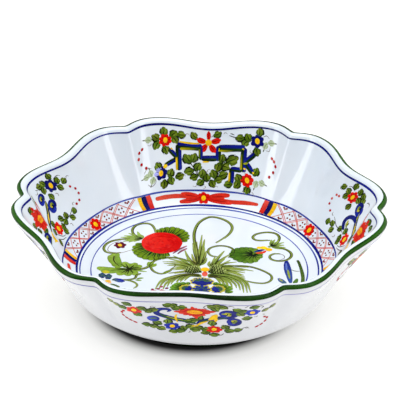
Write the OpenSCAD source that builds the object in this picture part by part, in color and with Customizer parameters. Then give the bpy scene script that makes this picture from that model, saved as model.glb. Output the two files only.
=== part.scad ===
// Six-lobed serving bowl in fired, tin-glazed clay: a moulded body on a
// turned foot, a coat of white glaze inside, outside and underneath, and
// bands of ceramic colour on the lip, round the well and on the foot.
// Origin: middle of the foot, on the surface the bowl stands on. +Z up.
// A notch of the rim points along +X and another along -X; a wide panel
// of the wall faces -Y.

/* [Rim] */
// Number of lobes round the rim, one notch between each pair
lobes = 6; // [6]
// Radius of the lip at the middle of a panel
panel_r = 143.5; // [138:0.5:148]
// Radius of the lip at the two horns beside each notch
horn_r = 155.6; // [152:0.2:160]
// Radius of the lip at the bottom of a notch
notch_r = 149.2; // [146:0.2:151]
// Angle from a notch to the horn beside it
horn_a = 8.2; // [7:0.1:10]
// Height of the lip above the table
rim_h = 88.4; // [80:0.2:100]
// How much the lip rises at the notches and dips at the panels
rim_wave = 0.6; // [0:0.1:1.5]

/* [Well] */
// Height of the floor of the well above the table
floor_z = 22.6; // [21.6:0.1:25]
// Radius of the flat part of the well
floor_r = 90.8; // [80:0.2:96]
// Radius where the well has turned up into the wall
well_r = 113.4; // [108:0.2:118]
// Height where the well has turned up into the wall
well_z = 34.9; // [31:0.1:39]
// Radius of the inner edge of the painted border
border_r = 102.2; // [98:0.2:106]

/* [Wall] */
// Outward bow of the inside of the wall
wall_bow = 1.2; // [0:0.1:3]
// Thickness of the glaze on the body
glaze_t = 0.5; // [0.3:0.05:0.8]
// Thickness of the painted bands on the glaze
paint_t = 0.25; // [0.15:0.05:0.4]

/* [Base] */
// Radius of the lower edge of the wall
base_r = 104.5; // [102:0.5:107]
// Height of the lower edge of the wall above the table
base_z = 16; // [14.6:0.2:17.4]
// How far the underside inside the foot is cut above the rest of the underside
recess = 1.7; // [0.8:0.1:2.4]

/* [Foot] */
// Outer radius of the foot where it meets the underside
foot_r = 86.5; // [80:0.5:92]
// Width of the foot, from its outer to its inner face
foot_w = 7.6; // [6.4:0.2:10]

/* [Hidden] */

white = [0.93, 0.94, 0.97];
clay = [0.86, 0.72, 0.58];
green = [0.12, 0.33, 0.10];
rose = [0.90, 0.68, 0.66];

// One sector from a notch to the next: the places round the rim where the
// body is sampled, closer together at the notch and its horns.
half_steps = [0, 3.2, 6.6, 9.8, 15.5, 22.5];
sector = concat(half_steps, [30], [for (i = [5:-1:1]) 60 - half_steps[i]]);
ANG = [for (k = [0:lobes - 1]) for (a = sector) 60 * k + a];
N = len(ANG);

// Angle from the nearest notch, and the plan of the rim: a soft V at each
// notch, two horns beside it, and a hollow panel between horns.
function off_notch(a) = let (m = a - 60 * floor(a / 60)) min(m, 60 - m);
soft = 1.0;
function v_part(p) = let (s = sqrt(p * p + soft * soft), s0 = sin(90 * soft / horn_a))
    (sin(90 * min(s, horn_a) / horn_a) - s0) / (1 - s0);
function plan_r(a) = let (p = off_notch(a), s = sqrt(p * p + soft * soft))
    s < horn_a ? notch_r + (horn_r - notch_r) * v_part(p)
               : horn_r - (horn_r - panel_r) * (1 - cos(180 * max(0, p - horn_a) / (30 - horn_a))) / 2;
function rise(a) = rim_wave * cos(6 * a) - 0.4 * cos(12 * a);

// A section point is [radius at the mean rim, height, lobing, rise]: lobing
// is the share of the rim's plan that the point follows, and rise is the
// share of the rim's wave.
mean_r = 149;
function at(q, a) = let (r = q[0] + q[2] * (plan_r(a) - mean_r))
    [r * cos(a), r * sin(a), q[1] + q[3] * rise(a)];

// Share of the lobing at a height, inside and outside the wall
function lobe_in(z) = max(0, min(1, (z - floor_z - 4.4) / (rim_h - floor_z - 8.2)));
function lobe_out(z) = max(0, min(1, (z - base_z - 5) / (rim_h - base_z - 13.9)));
function wave(z) = max(0, min(1, (z - well_z) / (rim_h - 8.9 - well_z)));

// Inside face, from the middle of the well out to the lip
function flat_pt(u) = [floor_r * u, floor_z + 0.9 * pow(u, 4), 0, 0];
function turn_pt(s) = let (z = floor_z + 0.9 + (well_z - floor_z - 0.9) * pow(s, 2.6))
    [floor_r + (well_r - floor_r) * s, z, lobe_in(z), 0];
function wall_pt(v) = let (z = well_z + (rim_h - 3.8 - well_z) * v)
    [well_r + (mean_r - 8.7 - well_r) * v + wall_bow * 4 * v * (1 - v) * 0.6, z, lobe_in(z), wave(z)];
border_s = (border_r - floor_r) / (well_r - floor_r);
// Lip, as steps in from the outermost radius and down from the top
function lip_pt(q) = [mean_r - q[0], rim_h - q[1], 1, 1];
lip_top = [[7.3, 1.5], [5.0, 0.15], [3.0, 0.05]];
lip_side = [[1.2, 0.7], [0.25, 1.9], [0, 3.3]];
lip_under = [[0.7, 5.8], [2.4, 8.9]];
// Outside face, from the lip down to the lower edge, then in under the bowl
out_r = mean_r - 2.4;
out_z = rim_h - 8.9;
function out_pt(v) = let (z = base_z + (out_z - base_z) * v)
    [base_r + (out_r - base_r) * (0.88 * pow(v, 1.15) + 0.12 * (1 - pow(1 - v, 20))), z, lobe_out(z), wave(z)];
under_z = base_z - 1.9;
under = [[base_r - 0.4, base_z - 0.9, 0, 0], [base_r - 1.6, base_z - 1.6, 0, 0],
         [base_r - 4, under_z, 0, 0], [foot_r + 0.3, under_z, 0, 0]];
foot_h = under_z + glaze_t;

in_flat = [for (u = [0.5, 0.82, 1]) flat_pt(u)];
in_border = [for (s = [border_s, 0.78, 1]) turn_pt(s)];
in_wall = [for (v = [0.2, 0.45, 0.72, 1]) wall_pt(v)];
IN = concat(in_flat, in_border, in_wall, [for (q = lip_top) lip_pt(q)]);
OUT = concat([IN[len(IN) - 1]], [for (q = lip_side) lip_pt(q)], [for (q = lip_under) lip_pt(q)],
             [for (v = [0.76, 0.52, 0.32, 0.17, 0.08, 0.03, 0]) out_pt(v)], under);
FULL = concat(IN, [for (i = [1:len(OUT) - 1]) OUT[i]]);
nin = len(IN);
nall = len(FULL);

// Moves point i of a section by d along the outward normal of the section;
// the two neighbours give its direction.
function nrm(p, i) = let (a = p[max(0, i - 1)], b = p[min(len(p) - 1, i + 1)],
    t = [b[0] - a[0], b[1] - a[1]]) [-t[1], t[0]] / norm(t);
function moved(p, i, d) = let (n = nrm(p, i)) [p[i][0] + d * n[0], p[i][1] + d * n[1], p[i][2], p[i][3]];
// The same section on the body, under the glaze
BODY = concat([for (i = [0:nall - 2]) moved(FULL, i, -glaze_t)], [[foot_r + 0.3, foot_h, 0, 0]]);
// Underside of the body across the foot and up into the recess inside it
foot_ri = foot_r - foot_w;
SEAT = [[foot_ri - 0.2, foot_h, 0, 0], [foot_ri - 1.2, foot_h + recess, 0, 0]];

function grid(rows) = [for (q = rows) for (a = ANG) at(q, a)];
// Faces of a grid of n rows starting at point b, seen from the side that
// the section's normal points to when flip is false
function quads(b, n, flip) = [for (i = [0:n - 2]) for (j = [0:N - 1])
    let (k = (j + 1) % N, p = b + i * N + j, q = b + i * N + k, r = p + N, s = q + N)
    each (flip ? [[p, q, s], [p, s, r]] : [[p, s, q], [p, r, s]])];
// Edge wall between the last or first rows of two grids
function edge(a, b, flip) = [for (j = [0:N - 1]) let (k = (j + 1) % N)
    each (flip ? [[a + j, b + k, a + k], [a + j, b + j, b + k]] : [[a + j, a + k, b + k], [a + j, b + k, b + j]])];

// A closed skin between an outer section and an inner section of n rows
module skin(top_rows, low_rows) {
    n = len(top_rows);
    polyhedron(points = concat(grid(top_rows), grid(low_rows)),
        faces = concat(quads(0, n, false), quads(n * N, n, true),
                       edge(0, n * N, false), edge((n - 1) * N, (2 * n - 1) * N, true)), convexity = 8);
}

// Moulded clay body: wall, well and recessed underside as one solid
module bowl_body() {
    color(clay) {
        rows = concat(BODY, SEAT);
        c = len(rows) * N;
        mid = [0, 0, floor_z - glaze_t];
        polyhedron(points = concat(grid(rows), [mid, [0, 0, foot_h + recess]]),
            faces = concat([for (j = [0:N - 1]) [c, j, (j + 1) % N]],
                           quads(0, len(rows), false),
                           [for (j = [0:N - 1]) [c + 1, c - N + (j + 1) % N, c - N + j]]), convexity = 8);
    }
}

// Outer face of the foot, from the resting face up
foot_face = [[foot_r - 1.8, 1], [foot_r - 1.3, 3], [foot_r - 0.5, 9]];

// Turned foot, luted to the underside; its rounded base is the resting face
module foot_ring() {
    color(clay) rotate_extrude($fn = 96)
        polygon(concat([[foot_ri, foot_h], [foot_ri + 0.3, 1.8], [foot_ri + 0.6, 0.6], [foot_ri + 1.3, 0],
                        [foot_r - 3.6, 0], [foot_r - 2.5, 0.3]], foot_face, [[foot_r, foot_h]]));
}

// White glaze inside, from the middle of the well to the top of the lip
module glaze_inside() {
    color(white) {
        up = [for (i = [0:nin - 1]) FULL[i]];
        lo = [for (i = [0:nin - 1]) BODY[i]];
        n = nin;
        c = 2 * n * N;
        polyhedron(points = concat(grid(up), grid(lo), [[0, 0, floor_z], [0, 0, floor_z - glaze_t]]),
            faces = concat([for (j = [0:N - 1]) [c, j, (j + 1) % N]],
                           quads(0, n, false), quads(n * N, n, true),
                           [for (j = [0:N - 1]) [c + 1, n * N + (j + 1) % N, n * N + j]],
                           edge((n - 1) * N, (2 * n - 1) * N, true)), convexity = 8);
    }
}

// White glaze outside, from the top of the lip down and in to the foot
module glaze_outside() {
    color(white) skin([for (i = [nin - 1:nall - 1]) FULL[i]], [for (i = [nin - 1:nall - 1]) BODY[i]]);
}

// White glaze on the underside, inside the foot
module glaze_underside() {
    color(white) translate([0, 0, foot_h + recess - glaze_t])
        cylinder(h = glaze_t, r = foot_ri - 1.5, $fn = 96);
}

// Painted border where the well turns up into the wall
module border_band() {
    i0 = len(in_flat);
    i1 = i0 + len(in_border) - 1;
    color(rose) skin([for (i = [i0:i1]) moved(FULL, i, paint_t)], [for (i = [i0:i1]) FULL[i]]);
}

// Green band round the outer shoulder of the lip
module rim_band() {
    i0 = nin - 1;
    i1 = i0 + len(lip_side);
    color(green) skin([for (i = [i0:i1]) moved(FULL, i, paint_t)], [for (i = [i0:i1]) FULL[i]]);
}

// Green band round the outside of the foot
module foot_band() {
    t = paint_t + 0.1;
    color(green) rotate_extrude($fn = 96)
        polygon(concat(foot_face, [[foot_r - 0.1, 13.4], [foot_r + t - 0.2, 12.8]],
                       [for (i = [2:-1:0]) [foot_face[i][0] + t, foot_face[i][1]]]));
}

bowl_body();
foot_ring();
glaze_inside();
glaze_outside();
glaze_underside();
border_band();
rim_band();
foot_band();
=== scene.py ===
import bpy, math, random
import numpy as np
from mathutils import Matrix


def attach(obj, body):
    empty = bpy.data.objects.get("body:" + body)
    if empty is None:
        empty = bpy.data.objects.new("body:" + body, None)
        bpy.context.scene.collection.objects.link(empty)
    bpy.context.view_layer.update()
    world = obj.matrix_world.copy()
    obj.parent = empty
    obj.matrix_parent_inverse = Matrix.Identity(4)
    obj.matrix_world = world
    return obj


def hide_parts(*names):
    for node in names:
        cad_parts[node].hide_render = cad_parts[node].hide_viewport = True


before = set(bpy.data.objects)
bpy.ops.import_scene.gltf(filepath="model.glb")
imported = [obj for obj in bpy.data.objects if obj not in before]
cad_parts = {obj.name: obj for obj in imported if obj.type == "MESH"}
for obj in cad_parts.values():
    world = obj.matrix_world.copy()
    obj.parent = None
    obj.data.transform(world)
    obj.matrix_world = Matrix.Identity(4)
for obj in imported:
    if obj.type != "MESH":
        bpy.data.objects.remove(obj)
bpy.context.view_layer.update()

MM = 0.001
rng = random.Random(7)

# ------------------------------------------------------------------ shape
# The bowl's own shape, in mm and degrees: the same plan, section and lip
# as the CAD model's, sampled finely and with a smooth lip.
LOBES = 6
PANEL_R, HORN_R, NOTCH_R, HORN_A, SOFT = 143.5, 155.6, 149.2, 8.2, 1.0
RIM_H, RIM_WAVE, MEAN_R = 88.4, 0.6, 149.0
FLOOR_Z, FLOOR_R, WELL_R, WELL_Z = 22.6, 90.8, 113.4, 34.9
WALL_BOW, GLAZE_T = 1.2, 0.5
BASE_R, BASE_Z, UNDER_Z, RECESS, FOOT_R, FOOT_RI, FOOT_H = 104.5, 16.0, 14.1, 1.7, 86.5, 78.9, 14.6
OUT_R, OUT_Z = MEAN_R - 2.4, RIM_H - 8.9

def plan_r(a):
    a = np.asarray(a, float)
    p = np.mod(a, 60.0); p = np.minimum(p, 60 - p)
    s = np.sqrt(p * p + SOFT * SOFT)
    s0 = math.sin(math.radians(90 * SOFT / HORN_A))
    k = (np.sin(np.radians(90 * np.minimum(s, HORN_A) / HORN_A)) - s0) / (1 - s0)
    inner = NOTCH_R + (HORN_R - NOTCH_R) * k
    t = np.clip((p - HORN_A) / (30 - HORN_A), 0, 1)
    outer = HORN_R - (HORN_R - PANEL_R) * (1 - np.cos(np.pi * t)) / 2
    return np.where(s < HORN_A, inner, outer)
def rise(a):
    a = np.radians(a)
    return RIM_WAVE * np.cos(6 * a) - 0.4 * np.cos(12 * a)
def lobe_in(z): return np.clip((z - 27.0) / (RIM_H - 3.8 - 27.0), 0, 1)
def lobe_out(z): return np.clip((z - 21.0) / (RIM_H - 8.9 - 21.0), 0, 1)
def wave(z): return np.clip((z - WELL_Z) / (RIM_H - 8.9 - WELL_Z), 0, 1)
def flat_pt(u):
    u = np.asarray(u, float); return np.stack([FLOOR_R * u, FLOOR_Z + 0.9 * u ** 4, 0 * u, 0 * u], -1)
def turn_pt(s):
    s = np.asarray(s, float)
    z = FLOOR_Z + 0.9 + (WELL_Z - FLOOR_Z - 0.9) * s ** 2.6
    return np.stack([FLOOR_R + (WELL_R - FLOOR_R) * s, z, lobe_in(z), 0 * s], -1)
def wall_pt(v):
    v = np.asarray(v, float)
    z = WELL_Z + (RIM_H - 3.8 - WELL_Z) * v
    return np.stack([WELL_R + (MEAN_R - 8.7 - WELL_R) * v + WALL_BOW * 2.4 * v * (1 - v), z, lobe_in(z), wave(z)], -1)
def out_pt(v):
    v = np.asarray(v, float)
    z = BASE_Z + (OUT_Z - BASE_Z) * v
    return np.stack([BASE_R + (OUT_R - BASE_R) * (0.88 * v ** 1.15 + 0.12 * (1 - (1 - v) ** 20)), z, lobe_out(z), wave(z)], -1)
LIP = [[7.3, 1.5], [5.0, 0.15], [3.0, 0.05], [1.2, 0.7], [0.25, 1.9], [0, 3.3], [0.7, 5.8]]
def catmull(P, n):
    P = np.asarray(P, float); out = []
    for i in range(1, len(P) - 2):
        p0, p1, p2, p3 = P[i - 1:i + 3]
        t = np.linspace(0, 1, n, endpoint=False)[:, None]
        out.append(0.5 * ((2 * p1) + (-p0 + p2) * t + (2 * p0 - 5 * p1 + 4 * p2 - p3) * t * t + (-p0 + 3 * p1 - 3 * p2 + p3) * t ** 3))
    out.append(P[-2][None]); return np.concatenate(out)
def section():
    """dense section from the middle of the well over the lip to the foot: rows [r, z, lobing, rise]"""
    a = flat_pt(np.linspace(0, 1, 46))[:-1]
    b = turn_pt(np.linspace(0, 1, 40))[:-1]
    c = wall_pt(np.linspace(0, 0.97, 60))
    lipk = [wall_pt(0.94), wall_pt(0.97)] + [wall_pt(1.0)] + [np.array([MEAN_R - x, RIM_H - y, 1, 1]) for x, y in LIP] + [out_pt(1.0), out_pt(0.96), out_pt(0.92)]
    d = catmull([np.asarray(k) for k in lipk], 6)[1:]
    e = out_pt(np.concatenate([np.linspace(0.96, 0.1, 52)[1:], np.linspace(0.1, 0, 22)[1:]]))
    # rounded lower edge, then in under the bowl to the foot
    k = [out_pt(0.012), out_pt(0.0)] + [np.array([r, z, 0, 0]) for r, z in ((BASE_R - 0.4, BASE_Z - 0.9), (BASE_R - 1.6, BASE_Z - 1.6), (BASE_R - 4.0, UNDER_Z), (BASE_R - 6.5, UNDER_Z))]
    f = catmull(k, 7)[1:]
    g = np.stack([np.linspace(BASE_R - 4.0, FOOT_R + 0.3, 8), np.full(8, UNDER_Z), np.zeros(8), np.zeros(8)], -1)[1:]
    return np.concatenate([a, b, c, d, e, f, g])
SEC = section()
ARC = np.concatenate([[0], np.cumsum(np.hypot(np.diff(SEC[:, 0]), np.diff(SEC[:, 1])))])
# section normals (pointing away from the clay)
_t = np.gradient(SEC[:, :2], ARC, axis=0); _t /= np.linalg.norm(_t, axis=1)[:, None]
SN = np.stack([-_t[:, 1], _t[:, 0]], -1)
I_WELL = 46 - 1 + 40 - 1          # index where the wall starts
RHO_FLOOR = ARC[45]; RHO_WELL = ARC[I_WELL]
I_LIP = int(np.argmax(SEC[:, 1])); RHO_TOP = ARC[I_LIP]
RHO_BASE = ARC[int(np.argmin(np.hypot(SEC[:, 0] - BASE_R, SEC[:, 1] - BASE_Z)))]; RHO_FOOT = ARC[-1]
def sec_at(rho):
    rho = np.asarray(rho, float)
    return np.stack([np.interp(rho, ARC, SEC[:, k]) for k in range(4)], -1)
def point(th, rho):
    th = np.asarray(th, float); q = sec_at(rho)
    r = q[..., 0] + q[..., 2] * (plan_r(th) - MEAN_R)
    t = np.radians(th)
    return np.stack([r * np.cos(t), r * np.sin(t), q[..., 1] + q[..., 3] * rise(th)], -1)
def frame_at(th, rho):
    """point and unit normal away from the clay"""
    e = 0.05
    P = point(th, rho)
    dt = point(th + 0.1, rho) - point(th - 0.1, rho)
    dr = point(th, rho + e) - point(th, rho - e)
    small = np.asarray(rho) < 0.2
    n = np.cross(dr, dt)      # inside wall: dr up/out, dt along theta
    l = np.linalg.norm(n, axis=-1, keepdims=True)
    n = np.where(l > 1e-12, n / np.maximum(l, 1e-12), np.array([0, 0, 1.0]))
    return P, n
def lift(th, rho, h):
    P, n = frame_at(th, rho)
    return P + n * np.asarray(h)[..., None]

# angles round the rim, closer together at the notches
_half = list(np.arange(0, 3, 0.25)) + list(np.arange(3, 12, 0.5)) + list(np.arange(12, 30, 1.0))
_sector = _half + [30.0] + [60 - x for x in _half[:0:-1]]
ANG = np.array([60.0 * k + a for k in range(LOBES) for a in _sector])
NA = len(ANG)

def new_mesh(name, verts, faces, smooth=True, cols=None):
    me = bpy.data.meshes.new(name)
    me.from_pydata([tuple(v) for v in (np.asarray(verts) * MM)], [], faces)
    me.update()
    if smooth:
        me.polygons.foreach_set("use_smooth", [True] * len(me.polygons))
    if cols is not None:
        at = me.color_attributes.new("paint", "FLOAT_COLOR", "POINT")
        c = np.ones((len(verts), 4), np.float32); c[:, :3] = np.asarray(cols)[:, :3]
        at.data.foreach_set("color", c.ravel())
    ob = bpy.data.objects.new(name, me)
    bpy.context.scene.collection.objects.link(ob)
    return ob

def quads(b, n, m, flip=False):
    out = []
    for i in range(n - 1):
        r0 = b + i * m; r1 = r0 + m
        for j in range(m):
            k = (j + 1) % m
            out.append((r0 + j, r1 + j, r1 + k, r0 + k) if not flip else (r0 + j, r0 + k, r1 + k, r1 + j))
    return out

def rows_at(rhos, h):
    h = np.broadcast_to(np.asarray(h, float), (len(rhos),))
    return np.concatenate([lift(ANG, np.full(NA, r), np.full(NA, d)) for r, d in zip(rhos, h)])

def closed_shell(top, low, ends=(True, True), poles=None):
    """top and low are arrays of rows*NA points that run the same way; poles are the two centre points of the first rows."""
    nt, nl = len(top) // NA, len(low) // NA
    V = [top, low]; b = nt * NA
    # the top grid's rows run outward over the lip, so its faces are wound to face away from the clay
    F = [f[::-1] for f in quads(0, nt, NA)] + quads(b, nl, NA)
    for first in (True, False):
        if first and poles is not None:
            continue
        a = 0 if first else (nt - 1) * NA
        c = b if first else b + (nl - 1) * NA
        for j in range(NA):
            k = (j + 1) % NA
            q = (a + j, a + k, c + k, c + j)
            F.append(q if not first else q[::-1])
    if poles is not None:
        p = (nt + nl) * NA
        V.append(np.array(poles, float))
        for j in range(NA):
            k = (j + 1) % NA
            F.append((p, j, k)); F.append((p + 1, b + k, b + j))
    return np.concatenate(V), F

# ------------------------------------------------------------------ paint
# Every brush mark is a thin closed skin of colour that follows the glaze.
RHO_END = ARC[-1]
def lin(c):
    c = np.asarray(c, float) / 255.0
    return np.where(c <= 0.04045, c / 12.92, ((c + 0.055) / 1.055) ** 2.4)
def rho_of(r): return np.interp(r, SEC[:I_WELL + 1, 0], ARC[:I_WELL + 1])

def z_floor(P): return np.degrees(np.arctan2(P[:, 1], P[:, 0])), np.hypot(P[:, 0], P[:, 1])
def z_in(tc):
    def f(P):
        rho = RHO_WELL + P[:, 1]
        return tc - np.degrees(P[:, 0] / np.interp(rho, ARC, SEC[:, 0])), rho
    return f
def z_out(tc):
    def f(P):
        rho = RHO_BASE - np.interp(P[:, 1], (0, 10, 15, 20, 25, 30, 40, 50, 60, 88.5), (5.5, 10.2, 12.8, 16.4, 20.5, 25.0, 35.3, 46.2, 57.5, 88.7))
        return tc + np.degrees(P[:, 0] / np.interp(rho, ARC, SEC[:, 0])), rho
    return f
RB0, RB1 = rho_of(102.8), RHO_WELL
def z_band(tc):
    def f(P): return tc - np.degrees(P[:, 0] / 108.0), RB0 + P[:, 1]
    return f

RED, RED_D, CORAL = (214, 16, 8), (150, 4, 4), (236, 84, 70)
YEL, ORANGE = (254, 212, 26), (236, 150, 20)
NAVY, BLUE, LILAC = (10, 14, 98), (28, 44, 146), (160, 164, 226)
LEAF, LEAF_D, LEAF_L = (68, 98, 16), (30, 52, 10), (128, 158, 56)
OLIVE, OLIVE_L, OLIVE_D = (112, 148, 40), (158, 184, 84), (58, 68, 14)
VEIN, SAGE, BROWN, MAROON = (18, 24, 8), (172, 192, 146), (84, 62, 36), (96, 10, 40)

class Piece:
    def __init__(self, name, slot, node=None):
        self.name, self.slot, self.node = name, slot, node
        self.th, self.rho, self.h, self.c, self.f, self.n = [], [], [], [], [], 0
    def add(self, zone, P, F, C, h):
        P = np.asarray(P, float); k = len(P)
        th, rho = zone(P)
        C = np.broadcast_to(np.asarray(C, float), (k, 3))
        seen = {}
        for f in F:
            for a, b in zip(f, f[1:] + f[:1]):
                seen[(a, b)] = True
        rim = [(a, b) for (a, b) in seen if (b, a) not in seen]
        self.th += [th, th]; self.rho += [rho, rho]
        self.h += [np.broadcast_to(np.asarray(h, float), (k,)), np.full(k, -0.06)]
        self.c += [C, C]
        n = self.n
        self.f += [tuple(n + i for i in f) for f in F]
        self.f += [tuple(n + k + i for i in f[::-1]) for f in F]
        self.f += [(n + b, n + a, n + k + a, n + k + b) for a, b in rim]
        self.n += 2 * k
    def build(self, mat):
        th, rho, h = (np.concatenate(x) for x in (self.th, self.rho, self.h))
        P, N = frame_at(th, rho)
        ob = new_mesh(self.name, P + N * h[:, None], self.f, cols=np.concatenate(self.c))
        ob.data.normals_split_custom_set_from_vertices([tuple(v) for v in N])
        ob.data.materials.append(mat)
        return ob

def spline(pts, closed=False):
    p = np.asarray(pts, float)
    if len(p) == 2:
        t = np.linspace(0, 1, 24)[:, None]
        return p[0] * (1 - t) + p[1] * t
    if closed:
        q = np.concatenate([p[-1:], p, p[:2]])
    else:
        q = np.concatenate([2 * p[:1] - p[1:2], p, 2 * p[-1:] - p[-2:-1]])
    return catmull(q, 16)

def wob(s, seed, scale=6.0):
    r = np.random.default_rng(seed)
    a, b, c = r.uniform(0, 6.28, 3)
    return (np.sin(s / scale * 2.1 + a) + 0.6 * np.sin(s / scale * 4.7 + b) + 0.4 * np.sin(s / scale * 9.3 + c)) / 2.0

_seed = [1]
def sd():
    _seed[0] += 1
    return _seed[0]

def stroke(pc, zone, pts, w, col, h=0.10, col2=None, edge=0.86, step=2.0, flat=False, tone=0.10, closed=False):
    """one brush stroke: w is a width or a list of widths along it, col runs to col2, edges are deeper by the factor edge"""
    D = spline(pts, closed)
    L = np.concatenate([[0], np.cumsum(np.hypot(*np.diff(D, axis=0).T))]); T = L[-1]
    if T < 0.05:
        return
    w = np.atleast_1d(np.asarray(w, float))
    wt = np.linspace(0, T, len(w)) if len(w) > 1 else None
    W = (lambda s: np.interp(s, wt, w) if wt is not None else np.full(np.shape(s), w[0]))
    if closed:
        s = np.linspace(0, T, max(8, int(T / step)) + 1)[:-1]
        hw = W(s) / 2
    else:
        r0, r1 = min(W(0.0) / 2, T * 0.45), min(W(T) / 2, T * 0.45)
        if flat:
            s = np.linspace(0, T, max(2, int(T / step) + 1) + 1); hw = W(s) / 2
        else:
            ph = np.radians([6, 28, 50, 70, 90])
            head, tail = r0 * (1 - np.cos(ph)), T - r1 * (1 - np.cos(ph))[::-1]
            n = max(2, int((tail[0] - head[-1]) / step) + 1)
            if wt is not None:
                n = max(n, 2 * len(w))
            mid = np.linspace(head[-1], tail[0], n + 1)[1:-1]
            s = np.concatenate([head, mid, tail])
            hw = np.concatenate([r0 * np.sin(ph), W(mid) / 2, r1 * np.sin(ph)[::-1]])
            hw = np.minimum(np.maximum(hw, 0.04), np.maximum(W(s) / 2, 0.04) * 1.02 + 0.001)
    k1, k2 = sd(), sd()
    hw = hw * (1 + 0.05 * wob(s, k1))
    X = np.stack([np.interp(s, L, D[:, 0]), np.interp(s, L, D[:, 1])], -1)
    e = 0.25
    if closed:
        sa, sb = (s - e) % T, (s + e) % T
    else:
        sa, sb = np.clip(s - e, 0, T), np.clip(s + e, 0, T)
    A = np.stack([np.interp(sa, L, D[:, 0]), np.interp(sa, L, D[:, 1])], -1)
    B = np.stack([np.interp(sb, L, D[:, 0]), np.interp(sb, L, D[:, 1])], -1)
    t = B - A; t /= np.maximum(np.linalg.norm(t, axis=1, keepdims=True), 1e-9)
    nrm = np.stack([-t[:, 1], t[:, 0]], -1)
    mx = float(hw.max())
    cols = (-1, 1) if mx < 0.45 else ((-1, 0, 1) if mx < 1.6 else (-1, -0.55, 0, 0.55, 1))
    c0 = lin(col); c1 = lin(col2) if col2 is not None else c0
    f = (s / T)[:, None]
    base = c0 * (1 - f) + c1 * f
    base = base * (1 + tone * wob(s, k2, 4.0))[:, None]
    P, C = [], []
    for j in cols:
        P.append(X - nrm * (hw * j)[:, None])
        C.append(base * (edge if abs(j) == 1 and len(cols) > 2 else 1.0) * (1 + 0.03 * j))
    m, nc = len(s), len(cols)
    P = np.stack(P, 1).reshape(-1, 2); C = np.clip(np.stack(C, 1).reshape(-1, 3), 0, 1)
    F = []
    for i in range(m if closed else m - 1):
        i2 = (i + 1) % m
        for j in range(nc - 1):
            # columns run from the stroke's left to its right as j grows, so this winding faces out
            F.append((i * nc + j, i2 * nc + j, i2 * nc + j + 1, i * nc + j + 1))
    # left side is +normal: cols go from -1 (left) to 1 (right), reversed here to keep faces outward
    F = [q[::-1] for q in F]
    pc.add(zone, P, F, C, h)

def blob(pc, zone, cx, cy, R, col, h=0.10, edge=0.86, rot=0.0, sx=1.0, sy=1.0, n=None, grad=None, tone=0.06, rings=None):
    """a filled spot; R is a radius or a function of the angle (degrees); grad = (angle, colour) runs across it"""
    big = R if not callable(R) else float(np.max([R(a) for a in range(0, 360, 5)]))
    n = n or int(np.clip(big * max(sx, sy) * 4, 10, 120))
    a = np.arange(n) * 360.0 / n
    r = np.array([R(x) for x in a]) if callable(R) else np.full(n, float(R))
    rings = rings or ((0.5, 0.85, 1.0) if big > 1.6 else (0.6, 1.0))
    if big > 7: rings = (0.15, 0.3, 0.45, 0.6, 0.75, 0.88, 0.96, 1.0)
    P = [np.zeros((1, 2))]
    for q in rings:
        P.append(np.stack([sx * q * r * np.cos(np.radians(a)), sy * q * r * np.sin(np.radians(a))], -1))
    P = np.concatenate(P)
    fr = np.concatenate([[0]] + [np.full(n, q) for q in rings])
    c0 = lin(col)
    C = np.tile(c0, (len(P), 1))
    if grad is not None:
        d = np.array([math.cos(math.radians(grad[0])), math.sin(math.radians(grad[0]))])
        k = np.clip(P @ d / (2 * big * max(sx, sy)) + 0.5, 0, 1)[:, None]
        C = C * (1 - k) + lin(grad[1]) * k
    C = C * np.where(fr > 0.97, edge, 1.0)[:, None]
    kk = sd()
    C = np.clip(C * (1 + tone * wob(P[:, 0] * 1.7 + P[:, 1] * 2.9, kk, 5.0))[:, None], 0, 1)
    ca, sa = math.cos(math.radians(rot)), math.sin(math.radians(rot))
    P = np.stack([cx + P[:, 0] * ca - P[:, 1] * sa, cy + P[:, 0] * sa + P[:, 1] * ca], -1)
    F = []
    for j in range(n):
        k = (j + 1) % n
        F.append((0, 1 + j, 1 + k))
        for q in range(len(rings) - 1):
            b0, b1 = 1 + q * n, 1 + (q + 1) * n
            F.append((b0 + j, b1 + j, b1 + k, b0 + k))
    pc.add(zone, P, F, C, h)

def polar(cx, cy, r, a): return (cx + r * math.cos(math.radians(a)), cy + r * math.sin(math.radians(a)))
J = lambda a: rng.uniform(-a, a)

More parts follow.
